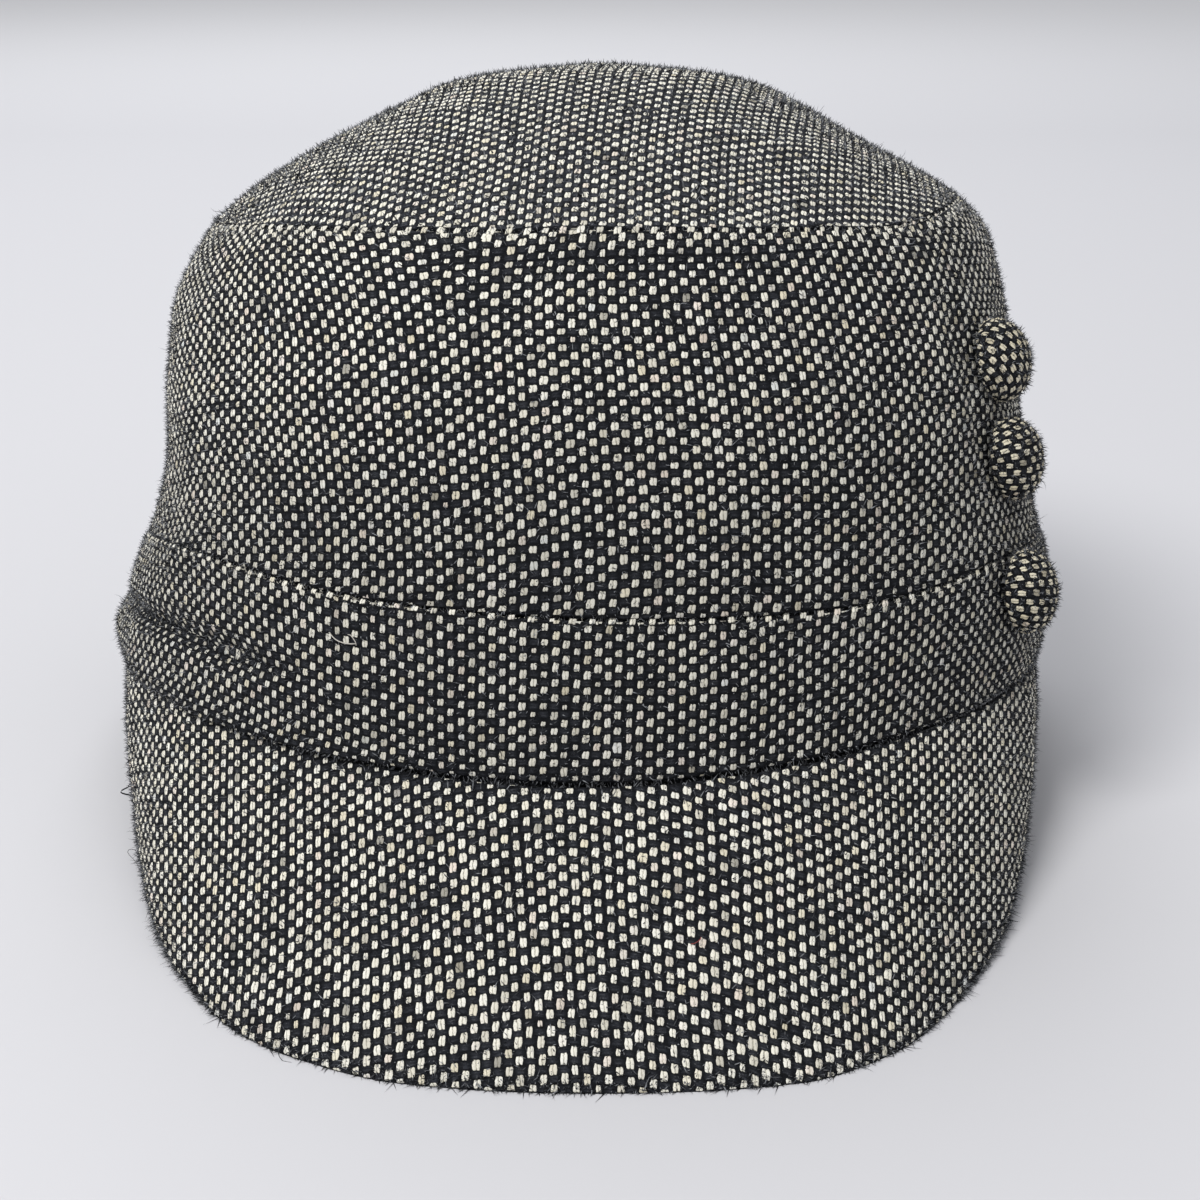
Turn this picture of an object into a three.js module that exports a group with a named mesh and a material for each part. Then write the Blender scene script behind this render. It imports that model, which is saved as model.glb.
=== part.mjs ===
// A cadet cap of black and cream tweed: a domed top, a crown wall, a flaring band, a wide peak
// that wraps far round the sides, and three cloth-covered buttons on the wearer's left.
//
// The cap is drawn in a frame of its own: x to the wearer's left, y to the back, z up, with the
// band's lower edge at height 0. It is then tipped back until the peak's edge and the back of the
// band stand on the floor, as the cap lies by itself. All sizes are in millimetres.

import * as THREE from 'three';
import { mergeVertices } from 'three/addons/utils/BufferGeometryUtils.js';

// Driving sizes
const clothThickness = 2.0;     // one cloth wall, shell and backing together
const pieceGap = 0.3;           // between neighbouring pieces
const bandHeight = 24.3;        // band at the centre front
const peakBulge = 1.3;          // how far the peak bows out between its seam and its edge
const fullBowLength = 30;       // a narrower stretch of the peak bows out less
const restTilt = 9.2;           // degrees that the cap leans back when it lies by itself
const pressedFlat = 0.7;        // depth of cloth flattened against the floor
const peakEnd = 97;             // degrees round from the front where the peak runs out

// Fineness of the mesh
const columnsRound = 80;
const bandRows = 4;
const crownRows = 8;
const topRows = 7;
const peakColumns = 56;
const peakRows = 5;
const buttonSides = 22;
const weldDistance = 1e-4;

// Outer sections of the body. height is above the band's lower edge, half is half the width,
// shift is the section's centre to the wearer's left, middle is how far back its widest place is,
// front and back are the distances from there, and power squares the oval off as it grows past 2.
const wallSections = [
  { height: -2, half: 86.2, shift: -0.6, middle: 0, front: 100.5, back: 100.2, power: 2.05 },
  { height: 2, half: 87.0, shift: -0.8, middle: 0, front: 99.5, back: 99.9, power: 2.05 },
  { height: 8, half: 90.2, shift: -2.4, middle: 0, front: 98.0, back: 99.3, power: 2.05 },
  { height: 15, half: 88.9, shift: -0.8, middle: 0, front: 96.2, back: 98.3, power: 2.05 },
  { height: 22, half: 87.2, shift: 0.6, middle: 0, front: 94.3, back: 97.2, power: 2.06 },
  { height: 30, half: 84.2, shift: 1.2, middle: 0, front: 91.6, back: 95.6, power: 2.1 },
  { height: 40, half: 82.0, shift: 1.2, middle: 0, front: 87.9, back: 93.1, power: 2.15 },
  { height: 50, half: 80.9, shift: 0.8, middle: 0, front: 84.2, back: 90.5, power: 2.2 },
  { height: 60, half: 79.9, shift: 0.3, middle: 0, front: 80.4, back: 88.0, power: 2.2 },
  { height: 69, half: 78.3, shift: 0, middle: 0, front: 77.0, back: 85.6, power: 2.2 },
  { height: 76, half: 76.1, shift: 0.6, middle: 0, front: 74.1, back: 83.5, power: 2.18 },
];

// Sections of the domed top, from its seam (step 0) to the crown of the cap (step 7).
const topSections = [
  { step: 0, height: 83.2, half: 72.5, shift: 2.0, middle: 0, front: 70.6, back: 80.2, power: 2.1 },
  { step: 1, height: 87.4, half: 68.4, shift: 2.2, middle: 0.3, front: 65.2, back: 75.4, power: 2.1 },
  { step: 2, height: 91.8, half: 62.3, shift: 1.8, middle: 0.8, front: 59.3, back: 69.2, power: 2.08 },
  { step: 3, height: 96.2, half: 54.7, shift: 1.8, middle: 1.4, front: 53.4, back: 61.4, power: 2.06 },
  { step: 4, height: 100.7, half: 46.3, shift: 1.8, middle: 2, front: 46.6, back: 52.6, power: 2.04 },
  { step: 5, height: 105.3, half: 37.8, shift: 1.9, middle: 2.8, front: 38.4, back: 42.4, power: 2 },
  { step: 6, height: 110.2, half: 25.6, shift: 2.4, middle: 3.5, front: 25.6, back: 27.6, power: 2 },
  { step: 7, height: 113.4, half: 0, shift: 2.7, middle: 4, front: 0, back: 0, power: 2 },
];

// The body goes on up into the first sections of the top, where the top seam climbs.
const bodySections = wallSections.concat(topSections.slice(0, 3));

// How far the band's two seams rise above level, and how many steps up the dome the top seam
// climbs, by degrees round from the front to the wearer's left.
const seamLines = [
  { turn: -180, lower: 0, upper: 0, top: 0 },
  { turn: -135, lower: 0, upper: 0, top: 0 },
  { turn: -92, lower: 1.2, upper: -1, top: 0 },
  { turn: -76, lower: 4.0, upper: 1.6, top: 0 },
  { turn: -61, lower: 5.2, upper: 3.6, top: 0 },
  { turn: -47, lower: 4.4, upper: 3.9, top: 0 },
  { turn: -25, lower: 1.4, upper: 1.4, top: 0 },
  { turn: 0, lower: -0.3, upper: -0.2, top: 0 },
  { turn: 25, lower: 1.2, upper: -0.5, top: 0 },
  { turn: 38, lower: 2.4, upper: 0.4, top: 0 },
  { turn: 52, lower: 3.3, upper: 2.2, top: 0.45 },
  { turn: 66, lower: 3.6, upper: 2.4, top: 1.0 },
  { turn: 78, lower: 2.8, upper: 1.2, top: 1.2 },
  { turn: 92, lower: 0.8, upper: -0.4, top: 1.2 },
  { turn: 135, lower: 0, upper: 0, top: 0.4 },
  { turn: 180, lower: 0, upper: 0, top: 0 },
];

// The peak's free edge by degrees round from the front: half the width there and its shift to
// the wearer's left, the distance in front of the cap's middle, and the drop below the band.
// The first row only carries the curve evenly through the middle.
const peakEdges = [
  { turn: -19, side: -29.4, shift: 1.8, front: 129.3, drop: 36.6 },
  { turn: 0, side: 0, shift: 2.0, front: 132.0, drop: 37.1 },
  { turn: 19, side: 29.4, shift: 1.8, front: 129.3, drop: 36.6 },
  { turn: 28, side: 43.2, shift: 0.4, front: 122.9, drop: 35.7 },
  { turn: 35, side: 52.0, shift: -0.8, front: 115.6, drop: 34.4 },
  { turn: 43, side: 60.9, shift: -1.2, front: 103.0, drop: 32.0 },
  { turn: 50, side: 68.2, shift: -1.2, front: 89.0, drop: 29.0 },
  { turn: 58, side: 73.9, shift: -1.2, front: 72.0, drop: 25.4 },
  { turn: 66, side: 78.2, shift: -1.2, front: 55.5, drop: 21.8 },
  { turn: 74, side: 81.8, shift: -1.2, front: 36.0, drop: 17.4 },
  { turn: 82, side: 84.8, shift: -1.2, front: 15.5, drop: 12.0 },
  { turn: 91, side: 87.0, shift: -1.2, front: -4.0, drop: 5.0 },
  { turn: 97, side: 87.4, shift: -1.2, front: -13.5, drop: 1.8 },
];

// Soft folds pressed into the body, each a valley along a line from one place to another.
const folds = [
  { fromTurn: -92, fromHeight: 15, toTurn: -50, toHeight: 5, width: 4.5, depth: 1.9 },
  { fromTurn: 50, fromHeight: 72, toTurn: 54, toHeight: 38, width: 4.0, depth: 0.9 },
  { fromTurn: 30, fromHeight: 72, toTurn: 33, toHeight: 60, width: 4.0, depth: 0.5 },
  { fromTurn: -140, fromHeight: 70, toTurn: -128, toHeight: 34, width: 6.0, depth: 1.0 },
  { fromTurn: 150, fromHeight: 68, toTurn: 138, toHeight: 30, width: 6.0, depth: 1.2 },
];

const foldRadius = 85;          // turns a fold's degrees round into a length

// The covered buttons: where each is sewn on, by degrees round from the front and by height.
const buttons = [
  { name: 'button_upper', turn: 57.6, height: 59.8 },
  { name: 'button_middle', turn: 58.2, height: 43.0 },
  { name: 'button_lower', turn: 56.7, height: 20.7 },
];
const buttonRadius = 7.25;
const buttonRise = 6.9;         // dome above the sewn-on face
const buttonWaist = 1.8;        // height of the widest ring above the sewn-on face
const buttonFoot = 5.6;         // radius of the sewn-on face

// Cloth colours
const tweedColour = 0x6d6c66;
const peakColour = 0x77766f;
const buttonColour = 0x5f5e59;

const degrees = Math.PI / 180;
const tilt = restTilt * degrees;
const floorHeight = -wallSections[1].back * Math.sin(tilt) + pressedFlat;

// Reads one column of a table at a place between its rows, with a smooth curve through them.
function readTable(rows, place, column, at) {
  const last = rows.length - 1;
  const clamped = Math.min(Math.max(at, rows[0][place]), rows[last][place]);
  let index = 0;
  while (index < last - 1 && clamped > rows[index + 1][place]) {
    index += 1;
  }
  const slopeAt = (i) => {
    const before = rows[Math.max(i - 1, 0)];
    const after = rows[Math.min(i + 1, last)];
    return (after[column] - before[column]) / (after[place] - before[place]);
  };
  const start = rows[index];
  const end = rows[index + 1];
  const span = end[place] - start[place];
  const t = (clamped - start[place]) / span;
  const fromStart = (1 + 2 * t) * (1 - t) * (1 - t) * start[column];
  const fromEnd = t * t * (3 - 2 * t) * end[column];
  const bendStart = t * (1 - t) * (1 - t) * span * slopeAt(index);
  const bendEnd = t * t * (1 - t) * span * slopeAt(index + 1);
  return fromStart + fromEnd + bendStart - bendEnd;
}

// A whole section of a table at one place.
function readSection(rows, place, at) {
  const section = {};
  for (const column of Object.keys(rows[0])) {
    section[column] = readTable(rows, place, column, at);
  }
  return section;
}

// A point of an oval section, at an angle in degrees round from the front.
function ovalPoint(section, turn) {
  const side = Math.sin(turn * degrees);
  const forward = Math.cos(turn * degrees);
  const power = section.power;
  const reach = (Math.abs(side) ** power + Math.abs(forward) ** power) ** (-1 / power);
  const length = forward > 0 ? section.front : section.back;
  return new THREE.Vector3(
    section.shift + section.half * side * reach,
    section.middle - length * forward * reach,
    section.height,
  );
}

// The same turn between -180 and 180 degrees.
function signedTurn(turn) {
  const fullTurn = 360;
  return turn - fullTurn * Math.round(turn / fullTurn);
}

// Depth of the folds at a place on the body.
function foldDepth(turn, height) {
  const reach = foldRadius * degrees;
  const endFade = 0.1;
  let depth = 0;
  for (const fold of folds) {
    const along = new THREE.Vector2(
      (fold.toTurn - fold.fromTurn) * reach,
      fold.toHeight - fold.fromHeight,
    );
    const place = new THREE.Vector2(signedTurn(turn - fold.fromTurn) * reach, height - fold.fromHeight);
    const share = THREE.MathUtils.clamp(place.dot(along) / along.lengthSq(), 0, 1);
    const away = place.sub(along.multiplyScalar(share)).length();
    const fade = Math.sin(Math.PI * THREE.MathUtils.lerp(endFade, 1 - endFade, share));
    depth += fold.depth * fade * Math.exp(-((away / fold.width) ** 2));
  }
  return depth;
}

// Outer surface of the body at a height, with its folds.
function bodyPoint(turn, height) {
  const point = ovalPoint(readSection(bodySections, 'height', height), turn);
  const inward = new THREE.Vector3(Math.sin(turn * degrees), -Math.cos(turn * degrees), 0);
  return point.addScaledVector(inward, -foldDepth(turn, height));
}

// Height of the band's lower or upper seam at an angle.
function seamHeight(seam, turn) {
  const base = seam === 'lower' ? 0 : bandHeight;
  return base + readTable(seamLines, 'turn', seam, signedTurn(turn));
}

// Outer surfaces, each at an angle in degrees and a share from its lower to its upper edge.
function bandSurface(turn, share) {
  const low = seamHeight('lower', turn);
  const high = seamHeight('upper', turn) - pieceGap / 2;
  return bodyPoint(turn, THREE.MathUtils.lerp(low, high, share));
}

function crownSurface(turn, share) {
  const low = seamHeight('upper', turn) + pieceGap / 2;
  const topStep = readTable(seamLines, 'turn', 'top', signedTurn(turn));
  const high = readTable(topSections, 'step', 'height', topStep) - pieceGap;
  return bodyPoint(turn, THREE.MathUtils.lerp(low, high, share));
}

function topSurface(turn, share) {
  const firstStep = readTable(seamLines, 'turn', 'top', signedTurn(turn));
  const lastStep = topSections[topSections.length - 1].step;
  const section = readSection(topSections, 'step', THREE.MathUtils.lerp(firstStep, lastStep, share));
  return ovalPoint(section, turn);
}

function peakSurface(turn, share) {
  const seam = bodyPoint(turn, seamHeight('lower', turn));
  seam.z -= pieceGap;
  const edge = readSection(peakEdges, 'turn', Math.abs(turn));
  const free = new THREE.Vector3(edge.shift + Math.sign(turn) * edge.side, -edge.front, -edge.drop);
  const run = free.clone().sub(seam);
  const outward = new THREE.Vector3(Math.sin(turn * degrees), -Math.cos(turn * degrees), 0);
  const across = new THREE.Vector3().crossVectors(run, new THREE.Vector3(outward.y, -outward.x, 0));
  across.normalize().multiplyScalar(Math.sign(across.dot(outward)) || 1);
  const bow = peakBulge * 4 * share * (1 - share) * Math.min(run.length() / fullBowLength, 1);
  return free.addScaledVector(run, -share).addScaledVector(across, bow);
}

// Tips a point of the cap back to its rest and presses cloth below the floor flat.
function settle(point) {
  const y = point.y * Math.cos(tilt) + point.z * Math.sin(tilt);
  const z = point.z * Math.cos(tilt) - point.y * Math.sin(tilt);
  return new THREE.Vector3(point.x, y, Math.max(z - floorHeight, 0));
}

// Outward normal of a surface by small steps along it.
function surfaceNormal(surface, turn, share, turnLimit) {
  const turnStep = 0.5;
  const shareStep = 0.01;
  const after = surface(Math.min(turn + turnStep, turnLimit), share);
  const before = surface(Math.max(turn - turnStep, -turnLimit), share);
  const above = surface(turn, Math.min(share + shareStep, 1));
  const below = surface(turn, Math.max(share - shareStep, 0));
  return new THREE.Vector3().crossVectors(after.sub(before), above.sub(below)).normalize();
}

// The inner face's point behind a place on the outer face. A level cut keeps its height.
function innerPoint(surface, turn, share, turnLimit, level) {
  const normal = surfaceNormal(surface, turn, share, turnLimit);
  const point = surface(turn, share);
  if (!level) {
    return point.addScaledVector(normal, -clothThickness);
  }
  const flat = new THREE.Vector3(normal.x, normal.y, 0);
  return point.addScaledVector(flat, -clothThickness / flat.lengthSq());
}

// Evenly spread numbers from one value to another, both included.
function spread(from, to, steps) {
  return Array.from({ length: steps + 1 }, (unused, index) => from + ((to - from) * index) / steps);
}

const allRound = spread(-180, 180, columnsRound).slice(0, -1);

// Two triangles at a time between two lines of points, each given by its number along the line.
function strip(triangles, first, second, length) {
  for (let place = 0; place < length; place += 1) {
    triangles.push(first(place), first(place + 1), second(place + 1));
    triangles.push(first(place), second(place + 1), second(place));
  }
}

// A closed mesh from points and triangles.
function meshFrom(points, triangles) {
  const geometry = new THREE.BufferGeometry();
  const numbers = points.flatMap((point) => point.toArray());
  geometry.setAttribute('position', new THREE.Float32BufferAttribute(numbers, 3));
  geometry.setIndex(triangles);
  return mergeVertices(geometry, weldDistance);
}

// A wall of cloth behind an outer surface: an outer and an inner face, joined along their edges.
// turns runs round it and shares up it. Rows in levelShares are cut level. Without a turnLimit
// the wall closes on itself, and with a tip it closes there instead of having an upper edge.
function clothWall({ surface, turns, shares, levelShares, turnLimit = Infinity, tip = null }) {
  const points = [];
  for (const inside of [false, true]) {
    for (const share of shares) {
      const level = levelShares.includes(share);
      for (const turn of turns) {
        const point = inside ? innerPoint(surface, turn, share, turnLimit, level) : surface(turn, share);
        points.push(settle(point));
      }
    }
  }
  const width = turns.length;
  const closed = turnLimit === Infinity;
  const columns = closed ? width : width - 1;
  const last = shares.length - 1;
  const row = (face, number) => (column) => (face * shares.length + number) * width + (column % width);
  const triangles = [];
  for (let number = 0; number < last; number += 1) {
    strip(triangles, row(0, number), row(0, number + 1), columns);
    strip(triangles, row(1, number + 1), row(1, number), columns);
  }
  strip(triangles, row(1, 0), row(0, 0), columns);
  if (tip) {
    const outerTip = points.push(settle(tip)) - 1;
    const innerTip = points.push(settle(tip.clone().setZ(tip.z - clothThickness))) - 1;
    for (let column = 0; column < columns; column += 1) {
      triangles.push(row(0, last)(column), row(0, last)(column + 1), outerTip);
      triangles.push(row(1, last)(column + 1), row(1, last)(column), innerTip);
    }
  } else {
    strip(triangles, row(0, last), row(1, last), columns);
  }
  if (!closed) {
    const end = (face, column) => (number) => row(face, number)(column);
    strip(triangles, end(0, 0), end(1, 0), last);
    strip(triangles, end(1, columns), end(0, columns), last);
  }
  return meshFrom(points, triangles);
}

// A covered button: a flat sewn-on face, a rounded side and a dome.
function buttonGeometry() {
  const profile = [new THREE.Vector2(0, 0), new THREE.Vector2(buttonFoot, 0)];
  const lowerTurns = [-52, -25];
  for (const turn of lowerTurns) {
    const out = buttonFoot + (buttonRadius - buttonFoot) * Math.cos(turn * degrees);
    profile.push(new THREE.Vector2(out, buttonWaist * (1 + Math.sin(turn * degrees))));
  }
  const domeTurns = [0, 16, 32, 48, 64, 78];
  for (const turn of domeTurns) {
    const out = buttonRadius * Math.cos(turn * degrees);
    profile.push(new THREE.Vector2(out, buttonWaist + (buttonRise - buttonWaist) * Math.sin(turn * degrees)));
  }
  profile.push(new THREE.Vector2(0, buttonRise));
  const geometry = new THREE.LatheGeometry(profile, buttonSides);
  geometry.deleteAttribute('normal');
  geometry.deleteAttribute('uv');
  return mergeVertices(geometry, weldDistance);
}

// Places a button on the body, its axis along the cloth's outward normal.
function placeButton(mesh, button) {
  const middle = 0.5;
  const surface = (turn, share) => bodyPoint(turn, button.height + share - middle);
  const normal = surfaceNormal(surface, button.turn, middle, Infinity);
  const foot = bodyPoint(button.turn, button.height).addScaledVector(normal, pieceGap);
  const settledFoot = settle(foot);
  const settledTip = settle(foot.clone().add(normal));
  const axis = settledTip.sub(settledFoot);
  mesh.position.copy(settledFoot);
  mesh.quaternion.setFromUnitVectors(new THREE.Vector3(0, 1, 0), axis.normalize());
}

// A named piece in its own matt cloth.
function piece(name, geometry, colour) {
  const cloth = new THREE.MeshStandardMaterial({ color: colour, roughness: 0.95, metalness: 0 });
  const mesh = new THREE.Mesh(geometry, cloth);
  mesh.name = name;
  return mesh;
}

function crownTop() {
  const shares = spread(0, 1, topRows).slice(0, -1);
  return clothWall({ surface: topSurface, turns: allRound, shares, levelShares: [0], tip: topSurface(0, 1) });
}

function crownSide() {
  const shares = spread(0, 1, crownRows);
  return clothWall({ surface: crownSurface, turns: allRound, shares, levelShares: [0, 1] });
}

function band() {
  const shares = spread(0, 1, bandRows);
  return clothWall({ surface: bandSurface, turns: allRound, shares, levelShares: [0, 1] });
}

// The peak's surface runs from its free edge up to its seam, which is cut level.
function peak() {
  const turns = spread(-peakEnd, peakEnd, peakColumns);
  const shares = spread(0, 1, peakRows);
  return clothWall({ surface: peakSurface, turns, shares, levelShares: [1], turnLimit: peakEnd });
}

const cap = new THREE.Group();
cap.add(piece('crown_top', crownTop(), tweedColour));
cap.add(piece('crown_side', crownSide(), tweedColour));
cap.add(piece('band', band(), tweedColour));
cap.add(piece('peak', peak(), peakColour));
for (const button of buttons) {
  const mesh = piece(button.name, buttonGeometry(), buttonColour);
  placeButton(mesh, button);
  cap.add(mesh);
}

// The origin lies on the floor under the middle of the cap.
cap.updateMatrixWorld(true);
const bounds = new THREE.Box3().setFromObject(cap, true);
const centre = bounds.getCenter(new THREE.Vector3());
cap.position.set(-centre.x, -centre.y, 0);

export default cap;
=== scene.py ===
# A cadet cap of black and cream tweed, lying by itself on a pale floor.
#
# The cap is drawn in millimetres in a frame of its own: x to the wearer's left, y to the back,
# z up, with the band's lower edge at height 0. settle() tips it back on to the floor.

import math

import bpy
import numpy as np
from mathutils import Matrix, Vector


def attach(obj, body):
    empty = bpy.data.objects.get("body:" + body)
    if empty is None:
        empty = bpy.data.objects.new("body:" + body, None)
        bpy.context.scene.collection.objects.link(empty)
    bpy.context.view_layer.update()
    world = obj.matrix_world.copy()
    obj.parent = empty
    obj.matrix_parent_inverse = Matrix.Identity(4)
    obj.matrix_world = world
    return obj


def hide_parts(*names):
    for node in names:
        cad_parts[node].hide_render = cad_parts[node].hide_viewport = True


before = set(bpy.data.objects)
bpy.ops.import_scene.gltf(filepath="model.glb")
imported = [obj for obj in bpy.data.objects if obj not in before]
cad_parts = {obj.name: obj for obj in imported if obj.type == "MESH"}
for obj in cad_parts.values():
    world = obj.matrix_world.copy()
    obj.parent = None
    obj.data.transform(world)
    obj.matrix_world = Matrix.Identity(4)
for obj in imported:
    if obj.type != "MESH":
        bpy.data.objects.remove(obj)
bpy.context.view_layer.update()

METRE = 0.001                   # one millimetre in metres

# Sizes of the cap, in millimetres
CLOTH_THICKNESS = 2.0
PIECE_GAP = 0.3
BAND_HEIGHT = 24.3
PEAK_BULGE = 1.3
FULL_BOW_LENGTH = 30
REST_TILT = math.radians(9.2)
PRESSED_FLAT = 0.7
PEAK_END = 97                   # degrees round from the front
FOLD_RADIUS = 85
MIDDLE_SHIFT = np.array([1.99, 18.38, 0.0])

# Sections of the body: height, half width, shift, middle, front, back, power
WALL_SECTIONS = [
    (-2, 86.2, -0.6, 0, 100.5, 100.2, 2.05),
    (2, 87.0, -0.8, 0, 99.5, 99.9, 2.05),
    (8, 90.2, -2.4, 0, 98.0, 99.3, 2.05),
    (15, 88.9, -0.8, 0, 96.2, 98.3, 2.05),
    (22, 87.2, 0.6, 0, 94.3, 97.2, 2.06),
    (30, 84.2, 1.2, 0, 91.6, 95.6, 2.1),
    (40, 82.0, 1.2, 0, 87.9, 93.1, 2.15),
    (50, 80.9, 0.8, 0, 84.2, 90.5, 2.2),
    (60, 79.9, 0.3, 0, 80.4, 88.0, 2.2),
    (69, 78.3, 0, 0, 77.0, 85.6, 2.2),
    (76, 76.1, 0.6, 0, 74.1, 83.5, 2.18),
]

# Sections of the domed top: step, then the same columns
TOP_SECTIONS = [
    (0, 83.2, 72.5, 2.0, 0, 70.6, 80.2, 2.1),
    (1, 87.4, 68.4, 2.2, 0.3, 65.2, 75.4, 2.1),
    (2, 91.8, 62.3, 1.8, 0.8, 59.3, 69.2, 2.08),
    (3, 96.2, 54.7, 1.8, 1.4, 53.4, 61.4, 2.06),
    (4, 100.7, 46.3, 1.8, 2, 46.6, 52.6, 2.04),
    (5, 105.3, 37.8, 1.9, 2.8, 38.4, 42.4, 2),
    (6, 110.2, 25.6, 2.4, 3.5, 25.6, 27.6, 2),
    (7, 113.4, 0, 2.7, 4, 0, 0, 2),
]
LAST_STEP = 7

# Seams: degrees round from the front, rise of the band's lower and upper seam, steps up the dome
SEAM_LINES = [
    (-180, 0, 0, 0),
    (-135, 0, 0, 0),
    (-92, 1.2, -1, 0),
    (-76, 4.0, 1.6, 0),
    (-61, 5.2, 3.6, 0),
    (-47, 4.4, 3.9, 0),
    (-25, 1.4, 1.4, 0),
    (0, -0.3, -0.2, 0),
    (25, 1.2, -0.5, 0),
    (38, 2.4, 0.4, 0),
    (52, 3.3, 2.2, 0.45),
    (66, 3.6, 2.4, 1.0),
    (78, 2.8, 1.2, 1.2),
    (92, 0.8, -0.4, 1.2),
    (135, 0, 0, 0.4),
    (180, 0, 0, 0),
]

# The peak's free edge: degrees round, half width, shift, distance in front, drop
PEAK_EDGES = [
    (-19, -29.4, 1.8, 129.3, 36.6),
    (0, 0, 2.0, 132.0, 37.1),
    (19, 29.4, 1.8, 129.3, 36.6),
    (28, 43.2, 0.4, 122.9, 35.7),
    (35, 52.0, -0.8, 115.6, 34.4),
    (43, 60.9, -1.2, 103.0, 32.0),
    (50, 68.2, -1.2, 89.0, 29.0),
    (58, 73.9, -1.2, 72.0, 25.4),
    (66, 78.2, -1.2, 55.5, 21.8),
    (74, 81.8, -1.2, 36.0, 17.4),
    (82, 84.8, -1.2, 15.5, 12.0),
    (91, 87.0, -1.2, -4.0, 5.0),
    (97, 87.4, -1.2, -13.5, 1.8),
]

# Folds pressed into the body: from turn and height, to turn and height, width, depth
FOLDS = [
    (-92, 15, -50, 5, 4.5, 1.9),
    (50, 72, 54, 38, 4.0, 0.9),
    (30, 72, 33, 60, 4.0, 0.5),
    (-140, 70, -128, 34, 6.0, 1.0),
    (150, 68, 138, 30, 6.0, 1.2),
]

# Columns of points round a piece
ROUND_COLUMNS = 289
PEAK_COLUMNS = 241
BUTTON_SIDES = 48

# The covered buttons: node, degrees round, height, turn of their cloth in degrees
BUTTONS = [
    ("button_upper", 57.6, 59.8, -38),
    ("button_middle", 58.2, 43.0, 84),
    ("button_lower", 56.7, 20.7, 96),
]
BUTTON_RADIUS = 7.25
BUTTON_RISE = 6.9
BUTTON_WAIST = 1.8
BUTTON_FOOT = 5.6
BUTTON_MAP_REACH = 16           # of a button's cloth from its tip, with some to spare
BUTTON_FRAY = 2.2               # how much more down a button has than plain cloth

# The weave
COLUMN_PITCH = 1.62             # across one pair of cream threads
ROW_PITCH = 1.325               # along one pair of dark threads
FLOAT_HEIGHT = 0.21             # of a cream float over the dark threads
SEAM_FLOAT_HEIGHT = FLOAT_HEIGHT * 1.2
FLOAT_SHAPES = 9
MAP_SPAN = 640.0                # cloth that the whole UV square stands for
SWAY = 0.42                     # how far the threads wander
SPARE_CELLS = 6                 # threads that a sheet of floats has beyond the cloth it is laid on
ENDLESS = 1000.0                # farther than any cloth reaches
NO_LIMIT = 1e9                  # for a wall that goes all round

# Width and length of the cream floats, by the piece or the seam that they lie on
FLOAT_SIZES = {
    "crown_side": (1.22, 1.48),
    "band": (1.12, 1.46),
    "peak": (1.18, 1.66),
    "crown_top": (1.26, 1.52),
    "button": (1.2, 1.66),
    "top_seam": (1.3, 1.35),
    "band_seam": (1.25, 1.1),
}

# Pieces whose floats are laid in a right and a left half, because there are so many
HALVED_FLOATS = ("crown_side",)

# Loose hairs: template, yarn, hairs to a square metre, shortest, longest, thickness, lean, clumping.
# Where the thickness is 0, a hair is as thick as its template says for its length.
HAIRS = {
    "down": ("spike", "hair", 1.33e6, 0.35, 1.5, 0.2, 0.85, 2.5),
    "fibres": ("curls", "hair", 4.0e4, 0.8, 2.4, 0.0, 1.15, 2.5),
    "fringe": ("spike", "hair", 6.5e6, 0.5, 3.0, 0.15, 1.2, 5.0),
    "seam_threads": ("spike", "thread", 1.5e6, 0.3, 1.3, 0.13, 1.45, 4.0),
}
DOME_HAIR_GAIN = 1.4            # the dome's hairs are stouter

# How light the yarns are painted, low and high on a piece: the band and the low crown are painted darker,
# as painted shade where less light reaches them
YARN_PAINTED_LIGHT = {
    "crown_side": (0.74, 1.0),
    "band": (0.78, 0.78),
    "peak": (1.0, 1.0),
    "crown_top": (1.0, 1.0),
}
# The same for the dark yarn, which is painted lighter on the dome: partly greyer fuzz, partly painted
# sheen of fuzz that catches the light there
DARK_YARN_PAINTED_LIGHT = {**YARN_PAINTED_LIGHT, "crown_top": (1.8, 1.8)}
BUTTON_YARN_SHADE = (0.92, 0.92)

# Seeds of what is laid by chance on each piece
SEEDS = {
    "crown_side": 1,
    "band": 2,
    "peak": 3,
    "crown_top": 4,
    "top_seam": 5,
    "band_seam": 6,
    "button": 10,
    "seam_threads": 40,
    "fringe": 60,
}

# How the walls meet
SEAM_LAP = 0.8                  # how far a wall's inner half reaches under its neighbour
LAP_DEPTH = 1.1                 # where that inner half starts in the cloth

# The least x, y and height of the floats and the hairs, in metres: both stay above the floor
FLOAT_LIMITS = (-9.0, -9.0, 0.0002)
HAIR_LIMITS = (-9.0, -9.0, 0.0001)


def read_table(rows, at):
    """All columns of a table at a place in its first, with smooth curves through the rows."""
    rows = np.asarray(rows, float)
    last = len(rows) - 1
    place = np.clip(np.asarray(at, float), rows[0, 0], rows[last, 0])
    index = np.clip(np.searchsorted(rows[:, 0], place) - 1, 0, last - 1)
    before = np.maximum(np.arange(last + 1) - 1, 0)
    after = np.minimum(np.arange(last + 1) + 1, last)
    slopes = (rows[after] - rows[before]) / (rows[after, :1] - rows[before, :1])
    start, end = rows[index], rows[index + 1]
    span = end[..., :1] - start[..., :1]
    t = (place[..., None] - start[..., :1]) / span
    level = (1 + 2 * t) * (1 - t) ** 2 * start + t * t * (3 - 2 * t) * end
    return level + t * (1 - t) * span * ((1 - t) * slopes[index] - t * slopes[index + 1])


def sideways(turn):
    """The level direction outwards at an angle round from the front."""
    angle = np.radians(turn)
    return np.stack([np.sin(angle), -np.cos(angle), 0 * angle], -1)


def unit(vectors):
    """Vectors of length 1."""
    return vectors / np.maximum(np.linalg.norm(vectors, axis=-1, keepdims=True), 1e-9)


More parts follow.
